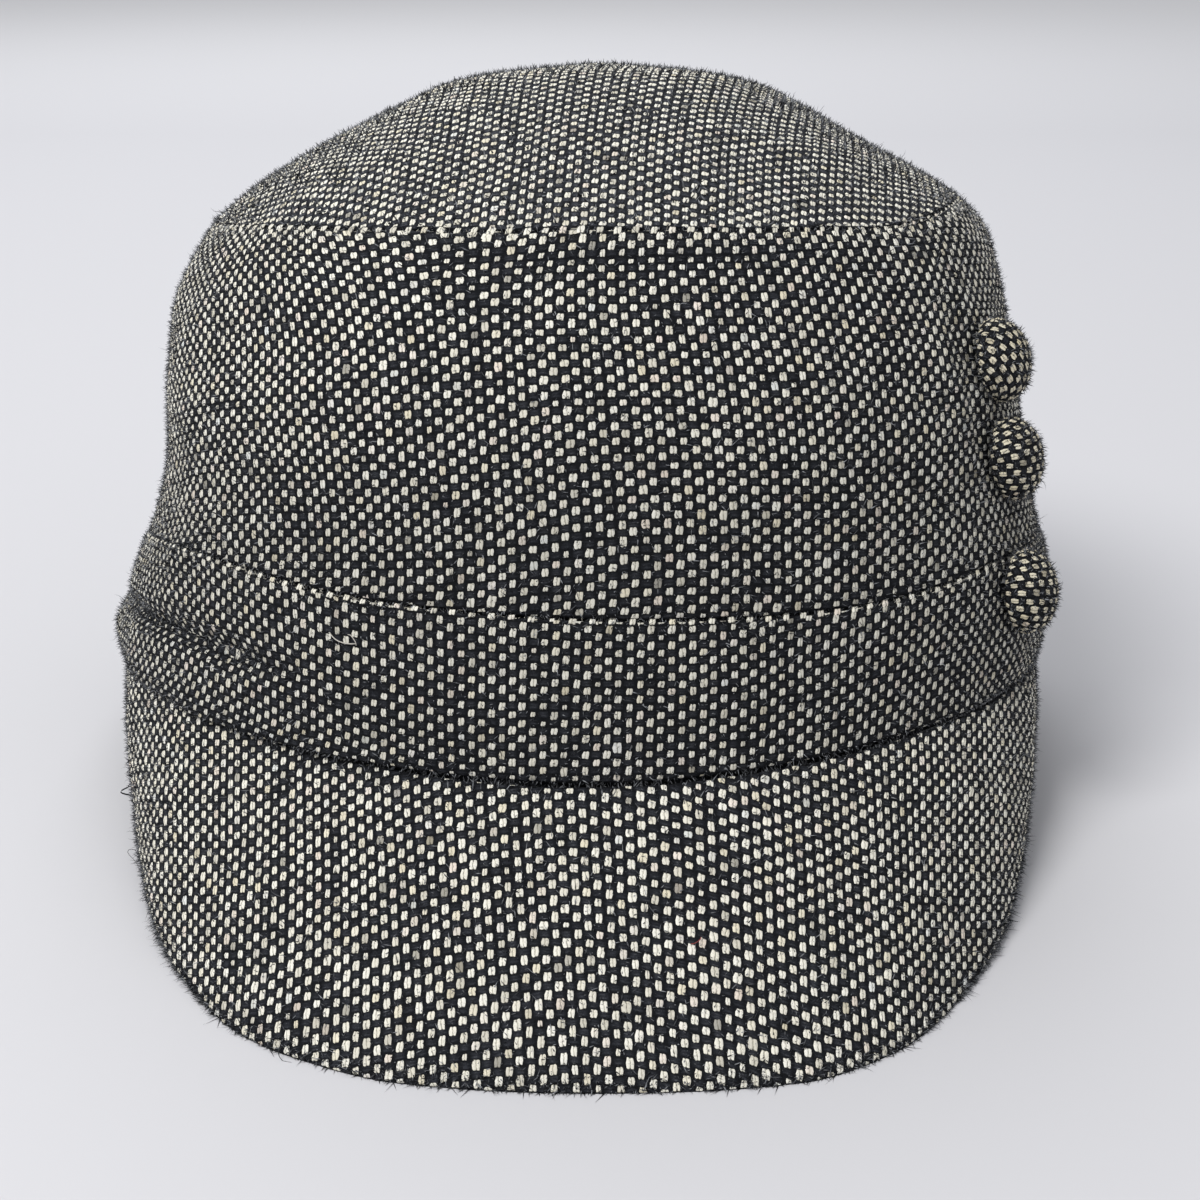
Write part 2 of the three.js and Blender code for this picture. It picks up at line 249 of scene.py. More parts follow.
def oval_point(section, turn):
    """A point round one section of the body, which is a rounded oval."""
    height, half, shift, middle, front, back, power = np.moveaxis(section, -1, 0)
    side, forward = np.sin(np.radians(turn)), np.cos(np.radians(turn))
    reach = (np.abs(side) ** power + np.abs(forward) ** power) ** (-1 / power)
    length = np.where(forward > 0, front, back)
    return np.stack([shift + half * side * reach, middle - length * forward * reach, height], -1)


def signed_turn(turn):
    """The same direction, between -180 and 180 degrees."""
    return turn - 360 * np.round(turn / 360)


def fold_depth(turn, height):
    """How deep the folds press the body in at a place."""
    reach = math.radians(FOLD_RADIUS)
    depth = 0
    for from_turn, from_height, to_turn, to_height, width, deep in FOLDS:
        along = np.array([(to_turn - from_turn) * reach, to_height - from_height])
        across = signed_turn(turn - from_turn) * reach
        up = height - from_height
        share = np.clip((across * along[0] + up * along[1]) / (along @ along), 0, 1)
        away = np.hypot(across - share * along[0], up - share * along[1])
        depth = depth + deep * np.sin(np.pi * (0.1 + 0.8 * share)) * np.exp(-((away / width) ** 2))
    return depth


BODY_SECTIONS = WALL_SECTIONS + [row[1:] for row in TOP_SECTIONS[:3]]


def body_point(turn, height):
    """Outer surface of the body at a height, with its folds."""
    turn, height = np.broadcast_arrays(np.asarray(turn, float), np.asarray(height, float))
    point = oval_point(read_table(BODY_SECTIONS, height), turn)
    return point - sideways(turn) * fold_depth(turn, height)[..., None]


def seams(turn):
    """Height of the band's lower and upper seam, and the dome's step at the top seam."""
    row = read_table(SEAM_LINES, signed_turn(turn))
    return row[..., 1], BAND_HEIGHT + row[..., 2], row[..., 3]


def band_surface(turn, share):
    """The band's outer face, from its lower edge at share 0 to its upper seam at 1."""
    low, high, unused = seams(turn)
    return body_point(turn, low + (high - PIECE_GAP / 2 - low) * share)


def crown_surface(turn, share):
    """The crown's wall, from the band at share 0 to the top seam at 1."""
    unused, upper, step = seams(turn)
    low = upper + PIECE_GAP / 2
    high = read_table(TOP_SECTIONS, step)[..., 1] - PIECE_GAP
    return body_point(turn, low + (high - low) * share)


def top_surface(turn, share):
    """The dome, from the top seam at share 0 to its tip at 1."""
    first = seams(turn)[2]
    return oval_point(read_table(TOP_SECTIONS, first + (LAST_STEP - first) * share)[..., 1:], turn)


def peak_surface(turn, share):
    """The peak, from its free edge at share 0 to its seam at 1."""
    turn, share = np.broadcast_arrays(np.asarray(turn, float), np.asarray(share, float))
    seam = body_point(turn, seams(turn)[0]) - np.array([0, 0, PIECE_GAP])
    edge = np.moveaxis(read_table(PEAK_EDGES, np.abs(turn)), -1, 0)
    free = np.stack([edge[2] + np.sign(turn) * edge[1], -edge[3], -edge[4]], -1)
    run = free - seam
    outward = sideways(turn)
    across = unit(np.cross(run, np.stack([outward[..., 1], -outward[..., 0], 0 * turn], -1)))
    across = across * np.where((across * outward).sum(-1, keepdims=True) < 0, -1, 1)
    length = np.linalg.norm(run, axis=-1)
    bow = PEAK_BULGE * 4 * share * (1 - share) * np.minimum(length / FULL_BOW_LENGTH, 1)
    return free - run * share[..., None] + across * bow[..., None]


FLOOR_HEIGHT = -WALL_SECTIONS[1][5] * math.sin(REST_TILT) + PRESSED_FLAT


def tipped(vectors):
    """Directions of the cap turned back to its rest."""
    x, y, z = np.moveaxis(vectors, -1, 0)
    cos, sin = math.cos(REST_TILT), math.sin(REST_TILT)
    return np.stack([x, y * cos + z * sin, z * cos - y * sin], -1)


def settle(points):
    """Points of the cap at rest on the floor, in millimetres of the part."""
    rested = tipped(points)
    rested[..., 2] = np.maximum(rested[..., 2] - FLOOR_HEIGHT, 0)
    return rested + MIDDLE_SHIFT


def outward_normal(surface, turn, share, turn_limit=NO_LIMIT):
    """The direction straight out of a surface, from places a short step round and up it."""
    turn_step, share_step = 0.4, 0.006
    after = surface(np.minimum(turn + turn_step, turn_limit), share)
    before = surface(np.maximum(turn - turn_step, -turn_limit), share)
    above = surface(turn, np.minimum(share + share_step, 1))
    below = surface(turn, np.maximum(share - share_step, 0))
    return unit(np.cross(after - before, above - below))


def slow_waves(points, longest, shortest, count, seed):
    """A smooth uneven value between about -1 and 1 at each point."""
    chance = np.random.default_rng(seed)
    total = 0
    for unused in range(count):
        direction = unit(chance.normal(size=3))
        wavelength = chance.uniform(shortest, longest)
        phase = chance.uniform(0, 2 * np.pi)
        total = total + np.sin(points @ direction * (2 * np.pi / wavelength) + phase)
    return total / math.sqrt(count)


# Helpers that wire nodes


class Wire:
    """One output of a node, which Python's operators reckon with."""

    def __init__(self, desk, socket):
        self.desk = desk
        self.socket = socket

    def other(self, name):
        """Another output of the same node."""
        return Wire(self.desk, self.desk.find(self.socket.node.outputs, name))

    def __add__(self, value):
        return self.desk.reckon("ADD", self, value)

    def __radd__(self, value):
        return self.desk.reckon("ADD", value, self)

    def __sub__(self, value):
        return self.desk.reckon("SUBTRACT", self, value)

    def __rsub__(self, value):
        return self.desk.reckon("SUBTRACT", value, self)

    def __mul__(self, value):
        return self.desk.reckon("MULTIPLY", self, value)

    def __rmul__(self, value):
        return self.desk.reckon("MULTIPLY", value, self)

    def __truediv__(self, value):
        return self.desk.reckon("DIVIDE", self, value)

    def __rtruediv__(self, value):
        return self.desk.reckon("DIVIDE", value, self)

    def __pow__(self, value):
        return self.desk.reckon("POWER", self, value)

    def __mod__(self, value):
        return self.desk.reckon("FLOORED_MODULO", self, value)

    def __gt__(self, value):
        return self.desk.reckon("GREATER_THAN", self, value)

    def __lt__(self, value):
        return self.desk.reckon("LESS_THAN", self, value)

    def whole(self):
        """The nearest whole number."""
        return self.desk.reckon("ROUND", self)

    def size(self):
        """The number without its sign."""
        return self.desk.reckon("ABSOLUTE", self)

    def wave(self):
        """A wave between -1 and 1, whose crests are a full turn apart."""
        return self.desk.reckon("COSINE", self)

    def at_least(self, value):
        """The number, or the value where that is greater."""
        return self.desk.reckon("MAXIMUM", self, value)

    def at_most(self, value):
        """The number, or the value where that is smaller."""
        return self.desk.reckon("MINIMUM", self, value)


class Desk:
    """A node tree that is being wired, of a material or of geometry."""

    def __init__(self, tree):
        self.tree = tree

    def find(self, sockets, name):
        """The socket of a name, or of a number among those in use."""
        if isinstance(name, int):
            return [socket for socket in sockets if socket.enabled][name]
        named = [s for s in sockets if s.enabled and name in (s.name, s.identifier)]
        return named[0]

    def fill(self, socket, value):
        """Wires a socket or sets its value."""
        if isinstance(value, Wire):
            self.tree.links.new(value.socket, socket)
        else:
            socket.default_value = value

    def node(self, kind, settings=None, sockets=None, output=0):
        """A new node: its settings first, then the values or wires of its sockets."""
        made = self.tree.nodes.new(kind)
        for name, value in (settings or {}).items():
            if name == "stops":
                self.set_stops(made.color_ramp, value)
            else:
                setattr(made, name, value)
        for name, value in (sockets or {}).items():
            self.fill(self.find(made.inputs, name), value)
        return Wire(self, self.find(made.outputs, output)) if made.outputs else None

    def set_stops(self, ramp, stops):
        """Gives a ramp its stops."""
        while len(ramp.elements) < len(stops):
            ramp.elements.new(1.0)
        for element, (place, shade) in zip(ramp.elements, stops):
            element.position = place
            element.color = shade

    def reckon(self, operation, *values):
        """A number out of others."""
        return self.node("ShaderNodeMath", {"operation": operation}, dict(enumerate(values)))

    def reckon_vectors(self, operation, *values):
        """A vector out of others."""
        return self.node("ShaderNodeVectorMath", {"operation": operation}, dict(enumerate(values)))

    def vector(self, x, y, z):
        """Three numbers as a vector."""
        return self.node("ShaderNodeCombineXYZ", sockets={"X": x, "Y": y, "Z": z})

    def parts(self, vector):
        """The three numbers of a vector."""
        split = self.node("ShaderNodeSeparateXYZ", sockets={"Vector": vector})
        return split, split.other("Y"), split.other("Z")

    def chance(self, x, y=0.0, salt=0.0):
        """A steady random number for each pair of whole numbers."""
        place = self.vector(x, y, salt)
        return self.node("ShaderNodeTexWhiteNoise", {"noise_dimensions": "3D"}, {"Vector": place})

    def noise(self, vector, scale, detail=2.0, roughness=0.5):
        """A cloudy number, which is 0.5 on average."""
        sockets = {"Vector": vector, "Scale": scale, "Detail": detail, "Roughness": roughness}
        return self.node("ShaderNodeTexNoise", {"noise_dimensions": "3D"}, sockets)

    def blend_colours(self, share, first, second, way="MIX"):
        """The first colour, with a share of the second laid over it."""
        settings = {"data_type": "RGBA", "blend_type": way, "clamp_factor": True}
        return self.node("ShaderNodeMix", settings, {"Factor": share, "A": first, "B": second})

    def mix_vectors(self, share, first, second):
        """A vector on the way from the first to the second."""
        settings = {"data_type": "VECTOR", "factor_mode": "UNIFORM"}
        return self.node("ShaderNodeMix", settings, {"Factor": share, "A": first, "B": second})

    def ramp(self, share, stops):
        """The colour that a number picks from a row of stops."""
        return self.node("ShaderNodeValToRGB", {"stops": stops}, {"Fac": share})


def colour(red, green, blue):
    """A colour of the screen as light, with its alpha."""
    def light(value):
        """One part of the colour as light."""
        share = value / 255
        return share / 12.92 if share < 0.04045 else ((share + 0.055) / 1.055) ** 2.4

    return (light(red), light(green), light(blue), 1.0)


def stops(*rows):
    """Stops of a ramp, each from its place and its colour on the screen."""
    return [(place, colour(*screen)) for place, *screen in rows]


def new_material(name):
    """A material without nodes, and the desk to wire it on."""
    material = bpy.data.materials.new(name)
    material.use_nodes = True
    material.node_tree.nodes.clear()
    return material, Desk(material.node_tree)


def finish_material(desk, sockets, bump=None, bump_depth=0.0):
    """Ends a material in one Principled shader, with a bump whose depth is in millimetres."""
    if bump is not None:
        bump_sockets = {"Strength": 1.0, "Distance": bump_depth * METRE, "Height": bump}
        sockets["Normal"] = desk.node("ShaderNodeBump", {}, bump_sockets)
    shader = desk.node("ShaderNodeBsdfPrincipled", {}, sockets)
    desk.node("ShaderNodeOutputMaterial", {}, {"Surface": shader})


# Materials


def weave_place(desk, map_name="cloth"):
    """Millimetres across and along the cloth."""
    across, along, unused = desk.parts(desk.node("ShaderNodeUVMap", {"uv_map": map_name}))
    return (across - 0.5) * MAP_SPAN, (along - 0.5) * MAP_SPAN


def cell_of(across, along):
    """The lattice cell of a place: its column and row, how far off its middle, and if it is dark."""
    column = (across / COLUMN_PITCH).whole()
    row = (along / ROW_PITCH).whole()
    beside = (across / COLUMN_PITCH - column).size()
    above = (along / ROW_PITCH - row).size()
    return column, row, beside, above, (column + row) % 2.0 > 0.5


def carried(desk, name):
    """A number that each float or hair carries, or each of its corners."""
    return desk.node("ShaderNodeAttribute", {"attribute_name": name}, output="Fac")


def painted_light_and_tone(desk, yarn, along, shades):
    """The yarn times a level that goes from the first to the second up the middle of a piece: painted
    shade or painted sheen on the cap's pieces, a plain tone on the buttons.
    """
    least, most = shades
    lowest, climb = -17.0, 30.0
    light = ((along - lowest) / climb).at_least(0.0).at_most(1.0) * (most - least) + least
    return desk.blend_colours(1.0, yarn, desk.vector(light, light, light), "MULTIPLY")


def dark_yarn(desk, across, along):
    """Colour and height of the dark threads: a pair crosses each dark cell as a low pillow."""
    column, row, beside, above, dark = cell_of(across, along)
    arch = 1.0 - beside * beside * 2.6
    roll = 1.0 - above * above * 4.0
    chance = desk.chance(column, row, 7.0)
    bent = desk.noise(desk.vector(across * 0.7, along * 0.7, 1.0), 1.0, 2.0)
    two_threads = 4 * math.pi / ROW_PITCH
    ribs = ((along + bent * 0.35) * two_threads + chance * 1.4).wave() * 0.5 + 0.5
    streaks = desk.noise(desk.vector(across * 1.1, along * 8.0, 0.0), 1.0, 4.0, 0.7)
    flecks = desk.noise(desk.vector(across * 5.0, along * 4.0, 5.0), 1.0, 3.0, 0.6)
    # Each pillow is painted lighter in its middle and darker towards its edges: painted highlight on the
    # raised threads and painted shade between the cells. The ribs, streaks and flecks are the yarn's own.
    pillow = (dark * arch * roll).at_least(0.0)
    light = pillow * (0.15 + ribs * 0.13 + chance * 0.10) + streaks * 0.70 + flecks * 0.42 - 0.24
    tones = stops((0.26, 15, 16, 19), (0.46, 28, 30, 35), (0.64, 52, 54, 60), (0.90, 122, 124, 128))
    return desk.ramp(light, tones), pillow + ribs * pillow * 0.2 + streaks * 0.6


def dark_ground(name, shades):
    """The dark threads under the cream floats."""
    material, desk = new_material(name)
    across, along = weave_place(desk)
    yarn, height = dark_yarn(desk, across, along)
    sockets = {
        # Painted shade low on the crown and on the band, painted sheen on the dome
        "Base Color": painted_light_and_tone(desk, yarn, along, shades),
        "Roughness": 0.9,
        "Specular IOR Level": 0.15,
    }
    finish_material(desk, sockets, height, 0.24)
    return material


def whole_tweed(name):
    """The weave with its cream threads drawn on, for the inside of the cap."""
    material, desk = new_material(name)
    across, along = weave_place(desk)
    column, row, beside, above, dark = cell_of(across, along)
    inside = (beside < 0.35) * (above < 0.55) * (1.0 - dark)
    yarn, height = dark_yarn(desk, across, along)
    shade = desk.chance(column, row)
    two_threads = 4 * math.pi / COLUMN_PITCH
    cream = desk.ramp(shade, stops((0.0, 186, 183, 172), (1.0, 232, 229, 218)))
    grooves = (across * two_threads).wave() * -0.5 + 0.5
    pillow = inside * (1.0 - beside * beside * 3.0) * (0.75 + grooves * 0.25)
    sockets = {
        "Base Color": desk.blend_colours(inside, yarn, cream),
        "Roughness": 0.92,
        "Specular IOR Level": 0.15,
        "Sheen Weight": 0.08,
        "Sheen Tint": colour(190, 195, 205),
    }
    finish_material(desk, sockets, height * 0.6 + pillow * 1.4, 0.26)
    return material


def cream_yarn(name, shades, cast=colour(255, 255, 255)):
    """The cream floats. Each one has its own shade and tint, and a groove between its threads."""
    material, desk = new_material(name)
    shade = carried(desk, "shade")
    tint = carried(desk, "tint")
    lift = carried(desk, "lift")
    side = carried(desk, "side")
    across, along = weave_place(desk, "OFBake")
    fibres = desk.noise(desk.vector(across * 9.0, along * 1.6, shade * 31.0), 1.0, 4.0, 0.7)
    specks = desk.noise(desk.vector(across * 3.0, along * 3.0, tint * 17.0), 1.0, 3.0, 0.6)
    wander = desk.noise(desk.vector(across * 0.8, along * 1.6, shade * 9.0), 1.0, 2.0)
    groove = (1.0 - (side + (wander - 0.5) * 0.4).size() * 6.0).at_least(0.0)
    creams = stops(
        (0.0, 168, 166, 160),
        (0.02, 216, 213, 204),
        (0.15, 238, 235, 226),
        (0.6, 249, 247, 239),
        (1.0, 254, 253, 248),
    )
    tints = stops(
        (0.0, 246, 238, 216),
        (0.12, 252, 250, 242),
        (0.90, 252, 251, 246),
        (0.96, 250, 237, 230),
        (1.0, 234, 240, 244),
    )
    # The float's low ends, where it dips under the dark threads, and the groove between its two threads
    # are painted darker: painted shade in those hollows
    depths = stops((0.14, 36, 38, 42), (0.36, 126, 126, 124), (0.56, 236, 235, 229), (0.76, 255, 255, 255))
    body = desk.blend_colours(0.8, desk.ramp(shade, creams), desk.ramp(tint, tints), "MULTIPLY")
    body = desk.blend_colours(1.0, body, cast, "MULTIPLY")
    raised = (lift * 3.6).at_most(1.0)
    painted_hollow_shade = desk.ramp(raised * 0.6 + fibres * 0.8 - groove * 0.5 - 0.11, depths)
    yarn = desk.blend_colours(0.92, body, painted_hollow_shade, "MULTIPLY")
    worn = (specks * 3.0 - 0.5).at_least(0.0).at_most(1.0)
    yarn = desk.blend_colours(worn, desk.blend_colours(0.45, yarn, colour(92, 92, 90)), yarn)
    sockets = {
        # Painted shade low on the crown and on the band; a plain tone on the buttons
        "Base Color": painted_light_and_tone(desk, yarn, along, shades),
        "Roughness": 0.88,
        "Specular IOR Level": 0.15,
    }
    finish_material(desk, sockets, fibres - groove * 0.7, 0.16)
    return material


def plain_fibre(name, dark, pale):
    """Loose hairs, each of one shade between two."""
    material, desk = new_material(name)
    sockets = {
        "Base Color": desk.blend_colours(carried(desk, "shade"), dark, pale),
        "Roughness": 0.8,
        "Specular IOR Level": 0.3,
    }
    finish_material(desk, sockets)
    return material


# Meshes


def grid_corners(rows, columns, close_rows, close_columns):
    """Row and column of each corner of the quads over a grid of points."""
    row_count = rows if close_rows else rows - 1
    column_count = columns if close_columns else columns - 1
    row, column = np.meshgrid(np.arange(row_count), np.arange(column_count), indexing="ij")
    row, column = row.ravel(), column.ravel()
    corner_rows = np.stack([row, row, row + 1, row + 1], 1)
    return corner_rows, np.stack([column, column + 1, column + 1, column], 1)


def build_mesh(name, points, faces, corner_map=None):
    """A smooth mesh from points in millimetres of the part, with its weave map."""
    mesh = bpy.data.meshes.new(name)
    faces = [list(map(int, face)) for face in faces]
    mesh.from_pydata((np.asarray(points) * METRE).tolist(), [], faces)
    if corner_map is not None:
        layer = mesh.uv_layers.new(name="cloth")
        layer.data.foreach_set("uv", np.asarray(corner_map, np.float32).ravel())
    mesh.shade_smooth()
    mesh.update()
    return mesh


def sheet_mesh(name, points, places=None):
    """An open sheet over rows of points of the cap, with its place in the weave."""
    row_count, column_count = points.shape[:2]
    corner_rows, corner_columns = grid_corners(row_count, column_count, False, False)
    faces = corner_rows * column_count + corner_columns
    corner_map = None if places is None else places[corner_rows, corner_columns].reshape(-1, 2)
    return build_mesh(name, settle(points.reshape(-1, 3)), faces, corner_map)


def give_vectors(mesh, name, vectors):
    """A vector for each point of a mesh."""
    attribute = mesh.attributes.new(name, "FLOAT_VECTOR", "POINT")
    attribute.data.foreach_set("vector", np.asarray(vectors, np.float32).ravel())


def give_numbers(mesh, name, numbers):
    """A number for each point of a mesh."""
    attribute = mesh.attributes.new(name, "FLOAT", "POINT")
    attribute.data.foreach_set("value", np.asarray(numbers, np.float32).ravel())


def show(name, mesh, slot_name, *nodes):
    """Puts a finished piece on the cap. It may stand for nodes of the solid model."""
    piece = bpy.data.objects.new(name, mesh)
    bpy.context.scene.collection.objects.link(piece)
    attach(piece, "root")
    if nodes:
        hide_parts(*nodes)
    return piece


EDGE_STEPS = np.array([0.0, 0.08, 0.3, 0.6, 1.0])     # rows that round an edge off
EDGE_DEPTHS = 1 - np.sqrt(1 - (1 - EDGE_STEPS) ** 2)
EDGE_ROWS = len(EDGE_STEPS)
WIDEST_EDGE = 0.3                                     # share of a wall that a rounding may take
TIP_SHARES = (0.99, 0.975)                            # last rows of the dome, before its tip
INNER_SHARES = np.linspace(0.9, 0.1, 9)               # rows of an inner face, downwards
EDGE_HOLD = 0.02                                      # how near its edge an inner half starts


class Wall:
    """One wall of cloth: its outer face with rounded edges, its inner face, and its weave map."""

    def __init__(self, surface, turns, rows, low, high, relief, closed=True, limit=NO_LIMIT):
        """low and high give each edge's rounding and its lap, in millimetres."""
        self.surface = surface
        self.turns = turns
        self.closed = closed
        self.limit = limit
        self.relief = relief
        ends = [surface(turns, np.zeros_like(turns)), surface(turns, np.ones_like(turns))]
        self.length = np.linalg.norm(ends[1] - ends[0], axis=-1)
        self.shares, depths = self.outer_rows(rows, low, high)
        self.outer, self.normals = self.layer(self.shares, depths, True)
        self.back_shares, depths = self.inner_rows(low, high)
        self.inner, unused = self.layer(self.back_shares, depths, False)

    def outer_rows(self, rows, low, high):
        """Share of the height and depth in the cloth of each row of the outer face, upwards."""
        low_round = EDGE_STEPS[:, None] * np.minimum(low[0] / self.length, WIDEST_EDGE)
        if high:
            high_round = 1 - EDGE_STEPS[:, None] * np.minimum(high[0] / self.length, WIDEST_EDGE)
        else:
            high_round = np.array(TIP_SHARES)[:, None] * np.ones_like(self.length)
        middle = np.linspace(0, 1, rows + 2)[1:-1, None]
        middle = low_round[-1] + (high_round[-1] - low_round[-1]) * middle
        shares = np.vstack([low_round, middle, high_round[::-1]])
        depths = np.zeros_like(shares)
        depths[:EDGE_ROWS] = EDGE_DEPTHS[:, None]
        if high:
            depths[-EDGE_ROWS:] = EDGE_DEPTHS[::-1, None]
        return shares, depths

    def inner_rows(self, low, high):
        """The same for the inner face, downwards. It steps back at the top and laps out below."""
        shares, depths = [], []
        if high:
            recess = np.maximum(high[1], 0.1 * high[0]) / self.length
            shares += [1 - EDGE_HOLD * high[0] / self.length, 1 - recess, 1 - recess * 1.05]
            depths += [LAP_DEPTH - 0.14, LAP_DEPTH - 0.05, CLOTH_THICKNESS]
        else:
            shares += [np.full_like(self.length, TIP_SHARES[-1])]
            depths += [CLOTH_THICKNESS]
        for share in INNER_SHARES:
            shares.append(np.full_like(self.length, share))
            depths.append(CLOTH_THICKNESS)
        lap = np.broadcast_to(low[1], self.length.shape) / self.length
        shares += [0.3 / self.length - lap, -lap, -lap, EDGE_HOLD * low[0] / self.length]
        depths += [CLOTH_THICKNESS, CLOTH_THICKNESS - 0.1, LAP_DEPTH + 0.05, LAP_DEPTH]
        return np.vstack(shares), np.array(depths)[:, None] * np.ones_like(self.length)

    def layer(self, shares, depths, uneven):
        """Points and normals at shares of the height. Past an edge they go straight on."""
        turns = np.broadcast_to(self.turns, shares.shape)
        inside = np.clip(shares, 0, 1)
        points = self.surface(turns, inside)
        near = self.surface(turns, np.clip(inside + 0.01, 0, 1))
        past = self.surface(turns, np.clip(inside - 0.01, 0, 1))
        beyond = (shares - inside) * self.length
        points = points + unit(near - past) * beyond[..., None]
        normals = outward_normal(self.surface, turns, inside, self.limit)
        if uneven:
            low, high = shares * self.length, (1 - shares) * self.length
            depths = depths - self.relief(points, turns, low, high)
        return points - normals * depths[..., None], normals

    def climbed(self):
        """Millimetres up the outer face from its lower edge."""
        steps = np.linalg.norm(np.diff(self.outer, axis=0), axis=-1)
        return np.vstack([np.zeros((1, self.outer.shape[1])), np.cumsum(steps, axis=0)])

    def climb(self, shares):
        """Millimetres up the cloth, for the outer rows or for plain shares of the inner ones."""
        return self.climbed() if shares is self.shares else shares * self.length

    def half_way(self):
        """Millimetres up the outer face to the middle of its height, in each column."""
        up = self.climbed()
        columns = range(up.shape[1])
        return np.array([np.interp(0.5, self.shares[:, place], up[:, place]) for place in columns])

    def roundwise(self, rate=None):
        """Millimetres round the middle of the wall from the front, or the sum of a rate over them."""
        last, count = (180, 1441) if self.closed else (self.limit, 777)
        fine = np.linspace(-last, last, count)
        line = self.surface(fine, np.full_like(fine, 0.5))
        steps = np.linalg.norm(np.diff(line, axis=0), axis=-1)
        if rate is not None:
            steps = steps * rate((fine[1:] + fine[:-1]) / 2)
        length = np.concatenate([[0], np.cumsum(steps)])
        length = length - np.interp(0, fine, length)
        return np.interp(self.turns, fine, length)


def closed_wall_mesh(name, wall, outer_map, inner_map):
    """The whole wall as one closed mesh. Its columns close on themselves or are capped."""
    rows = np.concatenate([wall.outer, wall.inner])
    places = np.concatenate([outer_map, inner_map, outer_map[:1]])
    if wall.closed:
        rows = rows[:, :-1]
    row_count, column_count = rows.shape[:2]
    corner_rows, corner_columns = grid_corners(row_count, column_count, True, wall.closed)
    faces = (corner_rows % row_count) * column_count + corner_columns % column_count
    corner_map = places[corner_rows, corner_columns].reshape(-1, 2)
    faces = faces.tolist()
    if not wall.closed:
        first = [row * column_count for row in range(row_count)]
        last = [row * column_count + column_count - 1 for row in range(row_count)]
        faces += [first[::-1], last]
        corner_map = np.concatenate([corner_map, places[:-1, 0][::-1], places[:-1, -1]])
    return build_mesh(name, settle(rows.reshape(-1, 3)), faces, corner_map)


def outer_face_mesh(name, wall, outer_map, fray, swell):
    """Only the outer face, with its normals, for laying threads on."""
    mesh = sheet_mesh(name, wall.outer, outer_map)
    give_vectors(mesh, "rise", tipped(wall.normals.reshape(-1, 3)))
    give_numbers(mesh, "fray", fray.ravel())
    give_numbers(mesh, "swell", swell.ravel())
    return mesh


def to_map(across, along, sway=0.0):
    """Millimetres of cloth as a place in the UV square, with threads that wander a little."""
    flat = np.stack(np.broadcast_arrays(across, along, 0.0), -1)
    longest, shortest, waves = 75, 22, 7
    across = across + sway * slow_waves(flat, longest, shortest, waves, 61)
    along = along + sway * slow_waves(flat, longest, shortest, waves, 62)
    return np.stack([across / MAP_SPAN + 0.5, along / MAP_SPAN + 0.5], -1)


# The weave's floats and fibres, each a small template that is repeated


def float_template(number):
    """Two short cream threads side by side, of unit size, arched over the dark ones."""
    chance = np.random.default_rng(100 + number)
    across = np.array([-0.5, -0.32, 0.32, 0.5])
    crest = np.array([-0.25, 0.95, 0.95, -0.25])
    foot = np.array([-0.3, -0.1, -0.1, -0.3])
    reach = 1 + chance.uniform(-0.14, 0.08, (3, 4))
    reach[:, (0, 3)] -= 0.04
    points, sides = [], []
    for row, y in enumerate((-0.5, 0.0, 0.5)):
        for column, x in enumerate(across):
            taper = 1.0 if row == 1 else 0.96
            height = crest[column] * chance.uniform(0.85, 1.12) if row == 1 else foot[column]
            points.append((x * taper + chance.uniform(-0.05, 0.05), y * reach[row, column], height))
            sides.append(x)
    corner_rows, corner_columns = grid_corners(3, 4, False, False)
    faces = corner_rows * 4 + corner_columns
    mesh = build_mesh(f"float_{number}", np.array(points) / METRE, faces)
    give_numbers(mesh, "lift", [max(0.0, point[2]) for point in points])
    give_numbers(mesh, "side", sides)
    return mesh


def spike_template():
    """One straight closed hair of unit length and width, which tapers to a point."""
    angles = np.radians([90, 210, 330])
    foot = np.stack([np.cos(angles) / 2, np.sin(angles) / 2, 0 * angles], -1)
    points = np.vstack([foot, [[0.35, 0.2, 1.0]]])
    return build_mesh("spike", points, [[0, 1, 3], [1, 2, 3], [2, 0, 3], [2, 1, 0]])


def fibre_template(number, bends, length, thickness, curl):
    """One closed three-sided hair that tapers to a point."""
    chance = np.random.default_rng(300 + number)
    direction = np.array([0.0, 0.0, 1.0])
    turn = chance.normal(size=3) * curl
    line = [np.zeros(3)]
    for unused in range(bends):
        line.append(line[-1] + direction * length / bends)
        direction = unit(direction + np.cross(turn, direction) + chance.normal(size=3) * curl * 0.25)
    points, faces = [], []
    for step, centre in enumerate(line[:-1]):
        radius = thickness / 2 * (1 - 0.5 * step / bends)
        for side in range(3):
            angle = 2 * np.pi * side / 3
            points.append(centre + radius * np.array([math.cos(angle), math.sin(angle), 0]))
    tip = len(points)
    points.append(line[-1])
    for step in range(bends - 1):
        for side in range(3):
            low, high = step * 3 + side, step * 3 + (side + 1) % 3
            faces.append([low, high, high + 3, low + 3])
    for side in range(3):
        low = (bends - 1) * 3
        faces.append([low + side, low + (side + 1) % 3, tip])
    faces.append([2, 1, 0])
    return build_mesh(f"fibre_{number}", np.array(points), faces)


def template_set(name, meshes):
    """A hidden collection of templates, which a tree picks from."""
    collection = bpy.data.collections.new(name)
    for mesh in meshes:
        collection.objects.link(bpy.data.objects.new(mesh.name, mesh))
    return collection


def new_tree(name, inputs):
    """A tree of Geometry Nodes with named inputs, its desk and its entry."""
    tree = bpy.data.node_groups.new(name, "GeometryNodeTree")
    tree.interface.new_socket("Geometry", in_out="INPUT", socket_type="NodeSocketGeometry")
    for label, kind in inputs.items():
        tree.interface.new_socket(label, in_out="INPUT", socket_type="NodeSocket" + kind)
    tree.interface.new_socket("Geometry", in_out="OUTPUT", socket_type="NodeSocketGeometry")
    desk = Desk(tree)
    return tree, desk, desk.node("NodeGroupInput")


